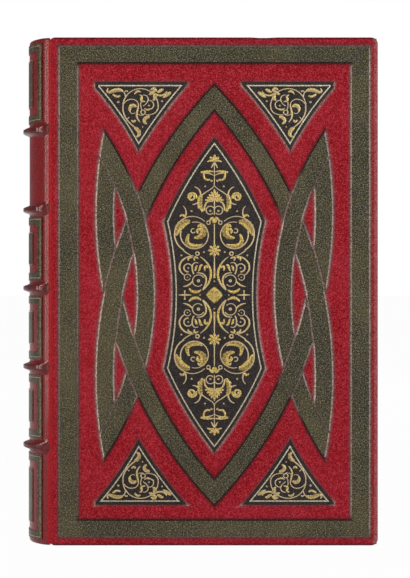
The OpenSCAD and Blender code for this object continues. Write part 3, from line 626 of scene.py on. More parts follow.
verts, faces, wear = spine_mesh()
skin = piece("spine_goatskin", verts, faces, spine_red_shaded, "block", replaces=("spine_leather",), wear=wear)
thick = skin.modifiers.new("thickness", "SOLIDIFY")
thick.thickness = SKIN_T * MM
thick.offset = -1


# Places along the width and levels, from the spine to the cover
JOINT_OUTLINE = ((-68.5, 18.65), (-67.9, 19.07), (-67.4, 19.35), (-67.05, 19.49), (-66.75, 19.58),
                 (-66.4, 19.67), (-65.9, 19.79), (-65.4, 19.83))
LINING_OUTLINE = ((-67.2, 15.6), (-67.15, 17.2), (-67.1, 18.7), (-67.0, 18.9), (-66.9, 18.7),
                  (-66.88, 17.2), (-66.87, 15.9))
# The gap at each end of the joint's leather, and its rows along the length
JOINT_END_GAP = 0.9
JOINT_ROWS = 90


def joint_leather(side, at):
    """The leather that bends between spine and cover."""
    swell = FIELD_SWELL if side == "front" else 0.0
    first, last = JOINT_OUTLINE[0][0], JOINT_OUTLINE[-1][0]
    outline = [(x, min(level + swell * (x - first) / (last - first), BACK_LEVEL + swell))
               for x, level in JOINT_OUTLINE]
    length = COVER_H - 2 * JOINT_END_GAP
    zs = [JOINT_END_GAP + i * length / JOINT_ROWS for i in range(JOINT_ROWS + 1)]
    verts = [at(x, z, level) for z in zs for x, level in outline]
    faces = grid_faces(len(zs), len(outline), flip=side == "back")
    strip = piece(side + "_joint_leather", verts, faces, joint_red)
    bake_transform(strip)


def joint_lining(side, at):
    """The paper inside the joint, folded at the hinge."""
    zs = (TURN_IN_W, COVER_H / 2, COVER_H - TURN_IN_W)
    verts = [at(x, z, level) for z in zs for x, level in LINING_OUTLINE]
    faces = grid_faces(len(zs), len(LINING_OUTLINE))
    lining = piece(side + "_joint_lining", verts, faces, end_paper, slot="lining_paper")
    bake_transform(lining)


for side, at in (("front", front), ("back", back)):
    joint_leather(side, at)
    joint_lining(side, at)

PANEL_NUMBERS = (1, 3, 4, 5, 6)
# The tooled frames of a panel: half width in degrees, and distance from the panel's ends
PANEL_FRAMES = ((45.1, 1.0), (27.4, 7.0))
FRAME_R = SPINE_R + ONLAY_T + 0.02
FRAME_LINE_W = 0.3


def frame_ring(reach, low, high):
    """A frame on the spine that reaches so many radians each way, as a loop of angles and heights."""
    sweep = [reach * (i / 12 - 1) for i in range(25)]
    rising = [low + (high - low) * k / 4 for k in (1, 2, 3)]
    falling = [high + (low - high) * k / 4 for k in (1, 2, 3)]
    ring = [(a, low) for a in sweep] + [(reach, z) for z in rising]
    return ring + [(-a, high) for a in sweep] + [(-reach, z) for z in falling]


def panel_lines(number):
    """Two tooled frames pressed into a panel of the spine: near its edge, and round its middle field."""
    heights = [v.co.z / MM for v in nodes["spine_panel_%d" % number].data.vertices]
    verts, faces = [], []
    for degrees, inset in PANEL_FRAMES:
        start = len(verts)
        for w in (0.0, FRAME_LINE_W):
            reach = math.radians(degrees) - w / (SPINE_R + ONLAY_T)
            ring = frame_ring(reach, min(heights) + inset + w, max(heights) - inset - w)
            verts += [(SPINE_AXIS_X - FRAME_R * math.cos(a), MID_Y - FRAME_R * math.sin(a), z)
                      for a, z in ring]
        faces += grid_faces(2, len(ring), start, closed=True, flip=True)
    piece("spine_panel_%d_lines" % number, verts, faces, silver, "block", tone=[0.4] * len(verts))


for number in PANEL_NUMBERS:
    panel_lines(number)


# Tooled lines along the edges of onlays


def outlines(node):
    """The edge loops of a flat node's outer face, as lists of (x, z) with the solid on the left."""
    mesh = nodes[node].data
    mesh.calc_loop_triangles()
    co = [(round(v.co.x / MM, 3), round(v.co.z / MM, 3), v.co.y / MM) for v in mesh.vertices]
    top = min(c[2] for c in co)
    ahead = {}
    for tri in mesh.loop_triangles:
        a, b, c = (co[i] for i in tri.vertices)
        if max(a[2], b[2], c[2]) > top + 0.02:
            continue
        if (b[0] - a[0]) * (c[1] - a[1]) - (b[1] - a[1]) * (c[0] - a[0]) < 0:
            a, c = c, a
        for p, q in ((a, b), (b, c), (c, a)):
            p, q = p[:2], q[:2]
            if ahead.get(q) and p in ahead[q]:
                ahead[q].remove(p)
            else:
                ahead.setdefault(p, []).append(q)
    loops = []
    while any(ahead.values()):
        start = next(p for p in ahead if ahead[p])
        loop, here = [], start
        while ahead.get(here):
            loop.append(here)
            here = ahead[here].pop()
            if here == start:
                break
        if len(loop) > 2:
            loops.append(loop)
    return loops


def fine_loop(loop, step=2.5):
    """The same loop with no two points further apart than a step."""
    out = []
    for p, q in zip(loop, loop[1:] + loop[:1]):
        n = max(1, math.ceil(math.dist(p, q) / step))
        out += [(p[0] + (q[0] - p[0]) * i / n, p[1] + (q[1] - p[1]) * i / n) for i in range(n)]
    return out


def outward(loop):
    """The mitred outward direction at each point of a loop that has its solid on the left."""
    n = len(loop)
    result = []
    for i in range(n):
        a, b, c = Vector(loop[i - 1]), Vector(loop[i]), Vector(loop[(i + 1) % n])
        u, v = (b - a).normalized(), (c - b).normalized()
        nu, nv = Vector((u.y, -u.x)), Vector((v.y, -v.x))
        m = nu + nv
        k = m.length_squared / 2
        result.append(m / max(k, 0.25))
    return result


def shifted(loop, ways, d, level):
    """The loop moved outward by d, at a level."""
    return [front(x + way.x * d, z + way.y * d, level) for (x, z), way in zip(loop, ways)]


def ring_faces(start, cols, n):
    """Faces between the rows of a closed band that has cols points across and n along."""
    return [
        (start + i * cols + c, start + i * cols + c + 1,
         start + (i + 1) % n * cols + c + 1, start + (i + 1) % n * cols + c)
        for i in range(n) for c in range(cols - 1)
    ]


# Distance outward from an onlay's edge, and the level there as a share of the onlay's height
STRAP_EDGE = ((-0.85, 1.0), (-0.6, 0.85), (-0.25, 0.45), (0.0, 0.1), (0.02, -0.4))


def area(loop):
    """Twice the signed area of a loop: negative for a hole."""
    return sum(p[0] * q[1] - q[0] * p[1] for p, q in zip(loop, loop[1:] + loop[:1]))


def strap_mesh(node):
    """A flat strap of leather with its edges pressed down by the tooled line."""
    verts, faces, tops, holes = [], [], [], []
    rise = ONLAY_LEVEL - FIELD_LEVEL
    cols = len(STRAP_EDGE)
    for loop in outlines(node):
        loop = fine_loop(loop)
        ways = outward(loop)
        start = len(verts)
        rings = [shifted(loop, ways, d, FIELD_LEVEL + rise * share) for d, share in STRAP_EDGE]
        verts += [ring[i] for i in range(len(loop)) for ring in rings]
        faces += ring_faces(start, cols, len(loop))
        (tops if area(loop) > 0 else holes).append([start + i * cols for i in range(len(loop))])
    for top in tops:
        group = [top] + (holes if len(tops) == 1 else [])
        order = [i for ring in group for i in ring]
        flat = [[Vector((verts[i][0], verts[i][2], 0)) for i in ring] for ring in group]
        for tri in tessellate_polygon(flat):
            a, b, c = (order[i] for i in tri)
            corners = [(verts[i][0], verts[i][2]) for i in (a, b, c)]
            faces.append((a, b, c) if area(corners) > 0 else (a, c, b))
    return verts, faces


STRAPS = ["border_strap", "upper_diamond_strap", "lower_diamond_strap", "left_bow_strap",
          "right_bow_strap"]
PLAQUES = ["centre_plaque"] + ["corner_plaque_%d" % i for i in range(1, 5)]
STRAP_LOOPS = {node: [np.array(loop) for loop in outlines(node)] for node in STRAPS}


def on_a_strap(x, z, besides):
    """Whether another strap than the one named lies at a point of the front cover."""
    for node, loops in STRAP_LOOPS.items():
        if node == besides:
            continue
        inside = False
        for p in loops:
            q = np.roll(p, -1, axis=0)
            crosses = (p[:, 1] > z) != (q[:, 1] > z)
            with np.errstate(divide="ignore", invalid="ignore"):
                at = p[:, 0] + (z - p[:, 1]) * (q[:, 0] - p[:, 0]) / (q[:, 1] - p[:, 1])
            inside ^= bool(np.count_nonzero(crosses & (at > x)) % 2)
        if inside:
            return True
    return False


# Distance outward, level as a share of the onlay's height, darkness (the line's dark floor, spreading
# outward as painted shade) and pinkish painted highlight
STRAP_LINE = ((-0.6, 0.92, 0.85, 0.4), (-0.45, 0.8, 1.0, 1.0), (-0.1, 0.35, 1.0, 1.0),
              (0.12, 0.14, 0.85, 0.5), (0.4, 0.1, 0.6, 0.2), (0.9, 0.08, 0.26, 0.08),
              (1.6, 0.05, 0.0, 0.0))
PLAQUE_LINE = ((-0.35, 1.2, 1.0, 0.1), (-0.1, 1.0, 0.8, 0.7), (0.3, 0.3, 0.35, 0.8),
               (0.55, 0.2, 0.25, 0.3), (1.5, 0.1, 0.0, 0.0))
LINE_FLOOR = FIELD_LEVEL + 0.02
# A line gets painted highlight where it runs upright: from this share of its outward way along the width,
# over a span
UPRIGHT_FROM = 0.905
UPRIGHT_SPAN = 0.055
# A line that crosses another strap is dark and narrow, and is looked for this far out
CROSSING_REACH = 0.6
CROSSING_TONE = 0.95


def line_painted_highlight(node, x, z, way, outer):
    """How much painted highlight the line at a point of an onlay's outline gets, as the photo shows it."""
    upright = abs(way.normalized().x)
    bright = min(max((upright - UPRIGHT_FROM) / UPRIGHT_SPAN, 0.0), 1.0) * (0.85 if way.x > 0 else 1.0)
    # Plaque edges that face down get painted highlight as if lit from above; the border strap's lines get
    # less of it lower down, more so on the left, and its outer edge always some
    if node in PLAQUES and way.y < -0.2 and upright > 0.7:
        bright = max(bright, 0.6)
    if node == "border_strap":
        height = z / COVER_H
        left = x < COVER_MID_X
        bright *= (0.4 + 0.6 * height) * 0.6 if left else 0.75 + 0.25 * height
        if outer:
            bright = max(bright, 0.25)
        elif not left:
            bright *= 0.7
    return bright


def edge_lines(name, node, top, profile, least_highlight):
    """A pressed line round an onlay: its floor is dark, with painted shade spreading beside it, and it has
    painted highlight where it runs upright.
    """
    verts, faces, tone, shine = [], [], [], []
    for loop in outlines(node):
        loop = fine_loop(loop)
        ways = outward(loop)
        outer = area(loop) > 0
        start = len(verts)
        for (x, z), way in zip(loop, ways):
            shake = 1 + 0.2 * noise.noise(Vector((x / 3, z / 3, 5.0)))
            bright = least_highlight + (1 - least_highlight) * line_painted_highlight(node, x, z, way, outer)
            beside = (x + way.x * CROSSING_REACH, z + way.y * CROSSING_REACH)
            crossing = node in STRAPS and on_a_strap(*beside, node)
            if crossing:
                shake *= 0.5
            for reach, rise, dark, light in profile:
                level = LINE_FLOOR + (top - LINE_FLOOR) * rise
                d = reach * shake
                verts.append(front(x + way.x * d, z + way.y * d, level))
                # Beside another strap a line is dark, with a faint painted highlight
                tone.append(max(dark, CROSSING_TONE) if crossing else dark)
                shine.append(0.3 + 0.15 * bright if crossing else light * bright)
        faces += ring_faces(start, len(profile), len(loop))
    piece(name, verts, faces, red, "front_cover", tone=tone, shine=shine)


for node in STRAPS:
    edge_lines(node + "_tooling", node, ONLAY_LEVEL, STRAP_LINE, 0.0)
    verts, faces = strap_mesh(node)
    piece(node + "_onlay", verts, faces, green, "front_cover", "green_leather", smooth=False,
          replaces=(node,))
for node in PLAQUES:
    edge_lines(node + "_tooling", node, PLAQUE_LEVEL, PLAQUE_LINE, 0.1)


# Gilding

LOBE_LENGTH = 1.5
# Place across a stroke in half widths, height above the leather, and darkness: dark edges, and a touch of
# painted shade on one side
LEAF_PROFILE = ((-1, 0.0, 0.95), (-0.78, 0.06, 0.1), (-0.2, 0.1, 0.0), (0, 0.1, 0.0), (0.2, 0.1, 0.0),
                (0.78, 0.06, 0.0), (1, 0.0, 0.95))
# A stroke turns into a lobed leaf from this width, over a span, and steps finely where it is broader
LEAF_FROM_W = 1.2
LEAF_SPAN_W = 0.9
FINE_FROM_W = 1.4
FINE_STEPS = 28
GOLD_LEVEL = PLAQUE_LEVEL + 0.01
# Signs of x and z of the copies of a stroke
ALONE = ((1, 1),)
BOTH_SIDES = ((1, 1), (-1, 1))
BOTH_ENDS = ((1, 1), (1, -1))
FOUR_WAYS = ((1, 1), (-1, 1), (1, -1), (-1, -1))


class Tooling:
    """Strokes of gold leaf with a raised middle, gathered into one mesh."""

    def __init__(self, place):
        self.verts, self.faces, self.tone, self.pale = [], [], [], []
        self.place, self.mirrors = place, ALONE

    def ribbon(self, points, widths):
        """A stroke along the points: a fine one is paler, and a broad one is a lobed and veined leaf with
        painted shade on one half.
        """
        n = len(points)
        widths = [w * min(1.0, 0.7 + 0.3 * w) for w in widths]
        far = [0.0]
        for p, q in zip(points, points[1:]):
            far.append(far[-1] + math.dist(p, q))
        lobes = max(2, round(far[-1] / LOBE_LENGTH))
        runs = [Vector(points[min(i + 1, n - 1)]) - Vector(points[max(i - 1, 0)]) for i in range(n)]
        for mx, mz in self.mirrors:
            start = len(self.verts)
            for p, run, w, gone in zip(points, runs, widths, far):
                run = run.normalized()
                broad = min(max((w - LEAF_FROM_W) / LEAF_SPAN_W, 0.0), 1.0)
                notch = 0.5 - 0.5 * math.cos(2 * math.pi * lobes * gone / far[-1])
                side = Vector((-run.y, run.x)) * w / 2 * (1 + broad * (0.1 - 0.16 * notch))
                for k, up, dark in LEAF_PROFILE:
                    q = Vector(p) + side * k - run * (abs(k) * 0.3 * broad)
                    # The middle row of a broad leaf is its dark vein; the half on one side is darkened as
                    # painted shade, more in its notches
                    shade = broad * (0.6 if k == 0 else 0.35 + 0.3 * notch if -0.9 < k < 0 else 0.0)
                    self.verts.append(self.place(q.x * mx, q.y * mz, GOLD_LEVEL + up))
                    self.tone.append(max(dark, shade))
                    self.pale.append(min(max((1.0 - w) / 0.4, 0.0), 0.85))
            for f in grid_faces(n, len(LEAF_PROFILE), start):
                self.faces.append(f[::-1] if mx * mz > 0 else f)

    def stroke(self, p, w, n=10):
        """A curve with four control points, and widths for its start, its middle and its end."""
        points, widths = [], []
        n = FINE_STEPS if w[1] > FINE_FROM_W else n
        for i in range(n + 1):
            t = i / n
            b = ((1 - t) ** 3, 3 * t * (1 - t) ** 2, 3 * t * t * (1 - t), t**3)
            points.append(tuple(sum(k * q[j] for k, q in zip(b, p)) for j in (0, 1)))
            shares = ((1 - t) * (1 - 2 * t), 4 * t * (1 - t), t * (2 * t - 1))
            widths.append(max(0.12, sum(k * share for k, share in zip(w, shares))))
        self.ribbon(points, widths)

    def scroll(self, at, r, a0, turn, w):
        """A spiral round a point: radii and widths at both ends, start and turn in degrees."""
        n = max(8, int(abs(turn) / 14))
        points, widths = [], []
        for i in range(n + 1):
            t = i / n
            reach, a = r[0] + (r[1] - r[0]) * t, math.radians(a0 + turn * t)
            points.append((at[0] + reach * math.cos(a), at[1] + reach * math.sin(a)))
            widths.append(w[0] + (w[1] - w[0]) * t)
        self.ribbon(points, widths)

    def dot(self, at, r=0.55):
        """A small ring, as a dotting tool leaves it."""
        self.scroll(at, (r * 0.4, r * 0.4), 0, 360, (r * 0.6, r * 0.6))

    def boss(self, at, r):
        """A full round."""
        self.scroll(at, (r / 2, r / 2), 0, 360, (r, r))

    def diamond(self, point, waist):
        """A lozenge with full sides and four petals pressed into it."""
        n = 16
        start = len(self.verts)
        for share, up in ((1.0, 0.0), (0.86, 0.07), (0.5, 0.08), (0.12, 0.1)):
            for i in range(n):
                a = 2 * math.pi * i / n
                lean = (math.cos(4 * a) + 1) / 2
                r = (waist + (point - waist) * lean**2) * share
                self.verts.append(self.place(r * math.sin(a), r * math.cos(a), GOLD_LEVEL + up))
                self.tone.append(0.9 if share == 1 else 0.55 * (1 - lean) if share == 0.5 else 0.0)
                self.pale.append(0.0)
        self.faces += grid_faces(4, n, start, closed=True, flip=True)
        self.faces.append(tuple(range(start + 3 * n, start + 4 * n))[::-1])

    def finish(self, name, replaces):
        return piece(name, self.verts, self.faces, gold, "front_cover", "gilding", replaces=replaces,
                     tone=self.tone, pale=self.pale)


def centre_place(x, z, level):
    return front(COVER_MID_X + x, DESIGN_MID_Z + z, level)


def finial(t):
    """Leaves at the point of the centre plaque, right of its axis."""
    t.stroke([(0.2, 60.9), (0.9, 61.6), (1.7, 62.2), (2.2, 62)], (0.6, 1.35, 0.6))
    t.stroke([(0.3, 60.4), (1.2, 61), (2, 60.7), (3.3, 60.2)], (0.8, 1.1, 0.6))
    t.stroke([(0, 59.9), (0.5, 59.2), (1, 58.2), (1.5, 57.3)], (0.5, 0.8, 0.3))
    t.stroke([(0.2, 55.8), (2, 56), (4, 55.7), (6.2, 55.4)], (0.4, 1.3, 0.9))
    t.stroke([(0.2, 54), (1.4, 54.7), (2.6, 55.1), (4.2, 55.2)], (0.4, 0.7, 0.9))
    t.stroke([(4.7, 55.2), (5.2, 53), (4, 51.4), (1.9, 52.2)], (0.9, 1, 0.9))
    t.dot((1.3, 51.6), 0.8)
    t.dot((4.2, 49.1), 0.65)


def arch(t):
    """The arch, its leaf and its curls under the finial."""
    t.stroke([(0, 49.7), (0.8, 47.6), (3.6, 47.2), (5.9, 44.8)], (0.5, 0.6, 0.7))
    t.stroke([(5.9, 45.6), (6.4, 43.8), (7.3, 41.4), (5.4, 37.6)], (0.9, 2.3, 0.9))
    t.stroke([(2.7, 41.9), (4, 42.2), (4.4, 40.4), (4.7, 38)], (0.6, 0.9, 0.8))
    t.stroke([(7.8, 41.7), (8.5, 41), (9.2, 40.9), (10, 40.9)], (0.5, 0.7, 0.3))
    t.stroke([(6.2, 45.4), (6.4, 47.4), (7.4, 48.4), (9, 48.9)], (0.8, 0.7, 0.5))
    t.scroll((10.2, 44.3), (2.1, 0.5), 200, -610, (1.0, 0.9))
    t.stroke([(6.3, 42.8), (7.2, 42.4), (7.6, 41.6), (7.5, 40.8)], (0.7, 1.1, 0.4))
    t.stroke([(6.4, 41), (7.2, 40.6), (7.4, 39.8), (7.1, 39)], (0.7, 1.0, 0.4))
    t.scroll((1.9, 38.2), (2, 1.7), 150, -290, (0.6, 0.6))
    t.dot((1.8, 38), 0.8)
    t.dot((10.3, 37.9), 0.7)


def great_scroll(t):
    """The open ring with the large leaf and the spiral inside it."""
    t.scroll((9.9, 27.5), (8, 8.2), 134, -196, (0.5, 0.8))
    t.stroke([(14, 20.1), (12.8, 19), (11.6, 18.5), (10.2, 17.6)], (0.7, 0.6, 0.5))
    t.scroll((8.8, 27.2), (5.8, 6.6), 76, 300, (0.5, 0.7))
    t.stroke([(17.3, 26.8), (16.8, 30.8), (14.4, 33.2), (11, 33.1)], (0.8, 3.9, 1.7))
    t.stroke([(13, 34.8), (13.6, 36.2), (15, 36.6), (15.6, 35.4)], (0.8, 1.2, 0.5))
    t.stroke([(13.1, 35.6), (12.4, 37.6), (13, 39.4), (14.2, 40.3)], (0.8, 0.6, 0.4))
    t.stroke([(5.4, 23), (8.4, 20.9), (14.6, 21.4), (11.5, 27.5)], (0.5, 2.6, 0.9))
    t.stroke([(5.6, 31.4), (4.2, 29.2), (4.8, 25.6), (9.2, 25.9)], (2.2, 3.2, 0.8))
    t.stroke([(4.8, 31), (6, 31.9), (7.2, 31.8), (7.5, 30.6)], (1, 1.2, 0.6))
    t.stroke([(5.4, 29.4), (7, 30.2), (8.6, 29), (7.3, 27.8)], (1.2, 1.5, 0.6))
    t.scroll((9.6, 29), (0.95, 0.95), -150, 270, (0.6, 0.6))
    t.stroke([(0.3, 35), (1.2, 34.9), (1.8, 34.2), (2.2, 33.4)], (0.7, 1.2, 0.6))
    t.scroll((2.7, 32.7), (0.8, 0.8), 0, 340, (0.6, 0.6))


def lesser_scroll(t):
    """The ring nearest the middle, with its stems and curls."""
    t.stroke([(6.4, 17.3), (1.2, 14), (-0.7, 7.4), (5.2, 2.2)], (0.4, 1.1, 0.6))
    t.stroke([(9.4, 17.7), (15.4, 17.6), (18.3, 11.4), (13.2, 8.7)], (0.5, 0.9, 0.5))
    t.stroke([(3, 12.2), (3.6, 13.7), (4.9, 12.6), (4.2, 10.9)], (0.6, 1.2, 0.5))
    t.stroke([(5.2, 13.3), (6.6, 14.6), (6.2, 11.6), (7.3, 10.7)], (0.5, 1.1, 0.5))
    t.stroke([(7.6, 13.2), (8.8, 12.8), (8, 11.6), (8.9, 10.9)], (0.6, 1.1, 0.5))
    t.stroke([(7.3, 14.4), (9.6, 15.6), (11, 12.8), (9.3, 9.4)], (0.5, 0.7, 0.7))
    t.scroll((12, 12.2), (2, 1.7), 200, -300, (0.6, 0.8))
    t.dot((11.8, 12.2), 0.65)
    t.stroke([(5.3, 2.4), (2.4, 6.6), (3.6, 10.4), (8, 10)], (0.7, 0.9, 0.5))
    t.scroll((7.3, 6.3), (2.9, 2.3), 150, -290, (0.6, 0.5))
    t.dot((7.2, 6.4), 1.15)
    t.scroll((12.2, 8), (1.5, 1.3), 170, -330, (0.5, 0.5))
    t.dot((12.2, 8), 0.5)
    t.stroke([(9.9, 6.2), (10.8, 4.8), (12.4, 3.9), (14.2, 3.8)], (0.6, 0.9, 0.4))
    t.stroke([(6, 2.4), (7.2, 0.9), (9.8, 0.8), (11.5, 2.9)], (0.5, 1.4, 0.8))
    t.stroke([(7.3, 16.4), (8.6, 17.8), (9.8, 16.6), (8.8, 15.5)], (0.5, 1.1, 0.5))
    t.stroke([(9.9, 17), (11, 17), (12.4, 16.6), (11.6, 15.5)], (0.5, 1.1, 0.5))
    t.scroll((7.7, 18.7), (0.8, 0.8), 0, 340, (0.7, 0.7))
    t.dot((4.7, 19.4), 0.7)
    t.dot((14.9, 17.9), 0.7)


def sprigs(t):
    """The dot and the cross beside the middle diamond."""
    t.dot((6.5, 0))
    t.stroke([(10.4, 0), (12, 0), (14.4, 0), (16.2, 0)], (0.4, 0.9, 0.4))
    t.stroke([(13.4, -2.1), (13.4, -0.7), (13.4, 0.7), (13.4, 2.1)], (0.9, 0.5, 0.9))


# Stems on the axis: foot, top, and the widths there
STEMS = ((49.6, 60.3, 0.5, 0.5), (36.2, 46, 0.5, 0.8), (22, 32.2, 0.7, 0.5), (7.6, 17.4, 1, 0.5))
FLOWER_Z = 20.1
PALMETTE_Z = 42.2
# The palmette's petals: lean in degrees, and length
PETALS = ((0, 5.7), (-17, 4.7), (17, 4.7), (-36, 4.1), (36, 4.1), (-58, 4.0), (58, 4.0), (-80, 4.4),
          (80, 4.4))


def petal(t, z, degrees, reaches, w, n):
    """A small leaf that points away from a place on the axis, through four distances from it."""
    a = math.radians(degrees)
    t.stroke([(r * math.sin(a), z + r * math.cos(a)) for r in reaches], w, n)


def axis_work(t):
    """What stands on the axis: stems, bosses, the flower, the palmette under the arch, and the tip."""
    for z0, z1, w0, w1 in STEMS:
        shares = [i / 6 for i in range(7)]
        t.ribbon([(0, z0 + (z1 - z0) * k) for k in shares], [w0 + (w1 - w0) * k for k in shares])
    t.boss((0, 33.6), 1.2)
    t.boss((0, FLOWER_Z), 1.3)
    for k in range(8):
        petal(t, FLOWER_Z, 45 * k, (1.2, 1.8, 2.4, 2.9), (0.7, 1.3, 0.5), 4)
    t.stroke([(0, 60.8), (0, 61.8), (0, 62.6), (0, 63.4)], (0.6, 1.35, 0.5), 8)
    for degrees, reach in PETALS:
        petal(t, PALMETTE_Z, degrees, [reach * k for k in (0.15, 0.5, 0.8, 1.0)], (0.5, 1.35, 0.4), 8)
    t.dot((0, 6.2), 0.6)


centre = Tooling(centre_place)
for draw, mirrors in ((finial, FOUR_WAYS), (arch, FOUR_WAYS), (great_scroll, FOUR_WAYS),
                      (lesser_scroll, FOUR_WAYS), (sprigs, BOTH_SIDES), (axis_work, BOTH_ENDS)):
    centre.mirrors = mirrors
    draw(centre)
centre.diamond(3.9, 3.05)
centre.finish("centre_gold_tooling", ("centre_gilding",))


def corner_ornament(t):
    """The ring, leaves and sprigs of a corner plaque, below its long side."""
    t.scroll((0.2, -11.1), (8, 8), -6, 196, (0.6, 0.6))
    t.stroke([(-7.8, -11.4), (-7.4, -13.8), (-5.6, -15.3), (-2, -14.8)], (0.6, 0.6, 0.4))
    t.stroke([(8.2, -11.4), (8.3, -15), (6.6, -17.8), (2.8, -20.6)], (0.6, 0.7, 0.7))
    t.stroke([(5.3, -16), (5.9, -16.5), (6.4, -17), (7, -17.5)], (0.6, 0.5, 0.5))
    t.stroke([(3.1, -20.9), (1.4, -21), (-0.4, -24), (2.1, -24.9)], (1, 1.9, 0.7))
    t.stroke([(7, -7), (7.1, -5.6), (7.6, -4.6), (8.4, -4.3)], (0.6, 0.6, 0.5))
    t.stroke([(7.5, -4.7), (7, -4), (6.4, -3.9), (6.1, -4.5)], (0.5, 0.7, 0.8))
    t.stroke([(8, -4.6), (9.2, -3.2), (11.8, -3.6), (14.6, -5)], (0.5, 1.9, 1.2))
    t.stroke([(12.8, -5.6), (11.6, -6.8), (10.2, -7.1), (9.5, -6.2)], (0.9, 1.1, 0.8))
    t.stroke([(14.2, -4.8), (15.5, -5), (15.6, -3.8), (14.8, -3)], (0.9, 0.9, 0.6))
    t.stroke([(-13.6, -4.8), (-12.6, -5), (-11.4, -6.6), (-9.8, -7.1)], (0.8, 1.6, 0.5))
    t.stroke([(-10.2, -3.7), (-9, -3.2), (-8.6, -4.8), (-7.2, -4.6)], (0.6, 1.5, 0.7))
    t.stroke([(-11.6, -4.4), (-10.6, -6.4), (-8.4, -6.8), (-6.3, -5.5)], (0.6, 0.9, 0.9))
    t.stroke([(-6.9, -4.4), (-6.6, -2.9), (-5.2, -2.6), (-4.4, -3.8)], (0.8, 1.3, 0.5))
    t.stroke([(-6.4, -4.3), (-5.4, -4.4), (-4.6, -5.6), (-3.5, -5.7)], (0.9, 1.6, 0.5))
    t.stroke([(-6.9, -5.6), (-5.6, -5.8), (-7, -7.6), (-5.3, -8.4)], (1, 1.9, 0.7))
    t.scroll((-3.7, -10.5), (2.1, 1.9), 62, 218, (0.5, 0.7))
    t.stroke([(-3.9, -12.4), (-3, -12.9), (-2.2, -12.7), (-1.5, -12)], (0.8, 0.9, 0.4))
    t.dot((-3.6, -10.8), 0.7)
    t.stroke([(-0.9, -6), (-3.4, -5.8), (-4.6, -8.8), (-0.9, -11)], (0.5, 0.6, 0.5))
    t.stroke([(0.6, -6), (-2, -6.6), (2, -8.8), (-1.9, -9)], (0.6, 1.2, 0.6))
    t.stroke([(0, -9.2), (0.4, -10.6), (0, -11.8), (-0.4, -12.8)], (0.6, 0.5, 0.6))
    t.scroll((-0.9, -13.8), (1, 1), 90, 350, (0.6, 0.6))
    t.stroke([(1.2, -9.9), (0.8, -12.4), (3.6, -15.2), (0.4, -18.3)], (0.5, 0.9, 0.5))
    t.stroke([(-1.2, -14.9), (-0.4, -15.4), (1, -15.3), (1.8, -14.2)], (0.5, 0.5, 0.4))
    t.stroke([(1.2, -10.2), (1.7, -7.2), (6.3, -7.1), (7.8, -10)], (0.5, 0.6, 0.5))
    t.stroke([(2.2, -11.5), (3.2, -9.8), (6, -11.2), (4.9, -13.6)], (0.8, 1.9, 0.6))
    t.stroke([(4.9, -13.4), (4.7, -14.4), (3.5, -14.7), (2.7, -14)], (0.5, 0.5, 0.4))
    t.stroke([(-3.9, -15.9), (-2.2, -15.5), (0, -18), (-2.6, -19)], (1.2, 1.7, 0.8))
    t.stroke([(2.6, -17.3), (3, -18.4), (3.9, -18.2), (4.2, -17.3)], (0.8, 1, 0.7))
    t.stroke([(0.2, -4.7), (1.4, -3.9), (2.4, -4.4), (2.9, -5.7)], (0.6, 1.1, 0.4))
    t.dot((-9.5, -8.8), 0.7)
    t.dot((10.3, -9.2), 0.8)
    t.dot((-0.7, -20.4))


CORNER_MID_X = 33.15
CORNER_PALE = 0.35
# Base line of a corner plaque and height of one unit of its ornament, at the head (1) and the tail (-1)
CORNER_BASE_Z = {1: 209.8, -1: 18.5}
CORNER_UNIT_Z = {1: 1.0013, -1: 0.9537}


def corner_work(number, side, way):
    """The ornament of one corner plaque, mirrored to its side (-1 or 1) and end (-1 or 1)."""

    def place(x, z, level):
        out = COVER_MID_X + side * (CORNER_MID_X + x)
        return front(out, CORNER_BASE_Z[way] + way * CORNER_UNIT_Z[way] * z, level)

    work = Tooling(place)
    corner_ornament(work)
    if side * way < 0:
        work.faces = [f[::-1] for f in work.faces]
    work.pale = [max(share, CORNER_PALE) for share in work.pale]
    work.finish("corner_gold_tooling_%d" % number, ("corner_gilding_%d" % number,))


for number, side, way in ((1, -1, 1), (2, 1, 1), (3, -1, -1), (4, 1, -1)):
    corner_work(number, side, way)


# Floor, backdrop and light


FLOOR_HALF_W = 30.0
FLOOR_Z = -0.0002
FLOOR_SHARE = 0.975
WORLD_LIGHT = 0.28


def stage_floor():
    half = FLOOR_HALF_W
    mesh = bpy.data.meshes.new("floor")
    corners = [(-half, -half, 0), (half, -half, 0), (half, half, 0), (-half, half, 0)]
    mesh.from_pydata(corners, [], [(0, 1, 2, 3)])
    mesh.materials.append(pale_ground("floor_white", FLOOR_SHARE))
    obj = bpy.data.objects.new("floor", mesh)
    obj.location = (0, 0, FLOOR_Z)
    bpy.context.scene.collection.objects.link(obj)


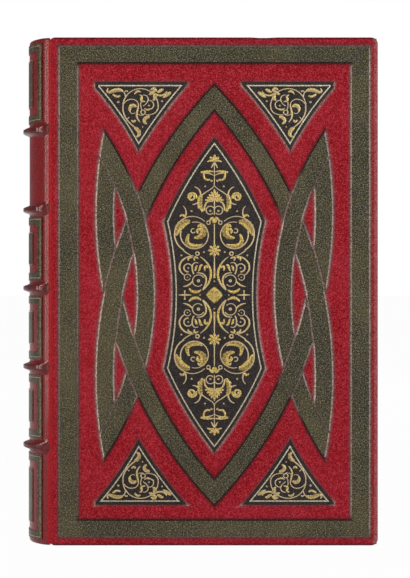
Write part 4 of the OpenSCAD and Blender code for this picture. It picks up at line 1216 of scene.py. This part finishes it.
def pale_ground(name, camera_share):
    """Matt grey that the camera and glossy rays see as plain white, apart from a share of shadow."""
    s = Shader(name)
    rays = s.add("ShaderNodeLightPath")
    seen = s.math("MAXIMUM", rays.outputs["Is Camera Ray"], rays.outputs["Is Glossy Ray"])
    mix = s.add("ShaderNodeMixShader")
    s.put(mix.inputs[0], s.math("MULTIPLY", seen, camera_share))
    s.put(mix.inputs[1], s.bsdf.outputs[0])
    s.put(mix.inputs[2], s.add("ShaderNodeEmission").outputs[0])
    s.put(s.tree.nodes["Material Output"].inputs[0], mix.outputs[0])
    return s.set(Base_Color=(0.5, 0.5, 0.5, 1), Roughness=0.9, Specular_IOR_Level=0.1)


stage_floor()

world = bpy.data.worlds.new("studio")
world.use_nodes = True
bpy.context.scene.world = world
tree = world.node_tree
sky = tree.nodes["Background"]
sky.inputs["Color"].default_value = (1, 1, 1, 1)
rays = tree.nodes.new("ShaderNodeLightPath")
strength = tree.nodes.new("ShaderNodeMapRange")
strength.inputs["To Min"].default_value = WORLD_LIGHT
strength.inputs["To Max"].default_value = 1.0
tree.links.new(rays.outputs["Is Camera Ray"], strength.inputs["Value"])
tree.links.new(strength.outputs[0], sky.inputs["Strength"])


def lamp(name, location, target, size, watts, tint=(1, 1, 1)):
    """A rectangular lamp that faces a target."""
    data = bpy.data.lights.new(name, "AREA")
    data.shape = "RECTANGLE"
    data.size, data.size_y = size
    data.energy = watts
    data.color = tint
    obj = bpy.data.objects.new(name, data)
    obj.location = location
    obj.rotation_euler = (Vector(target) - Vector(location)).to_track_quat("-Z", "Y").to_euler()
    bpy.context.scene.collection.objects.link(obj)


MIDDLE = (0, 0, 0.11)
SPINE_MIDDLE = (-0.07, 0, 0.11)
lamp("left_softbox", (-0.75, -0.62, 0.38), MIDDLE, (0.16, 0.9), 2.0, (1, 0.74, 0.54))
lamp("right_softbox", (0.52, -0.85, 0.34), MIDDLE, (0.3, 0.6), 5.2, (0.84, 0.95, 1))
lamp("front_fill", (-0.2, -1.3, 0.7), MIDDLE, (1.0, 0.6), 5.0, (1, 0.97, 0.92))
lamp("spine_strip", (-0.9, -0.25, 0.2), SPINE_MIDDLE, (0.1, 0.7), 4.6, (1, 0.88, 0.8))
lamp("back_fill", (0.3, 1.4, 0.7), MIDDLE, (1.0, 0.8), 6.0)
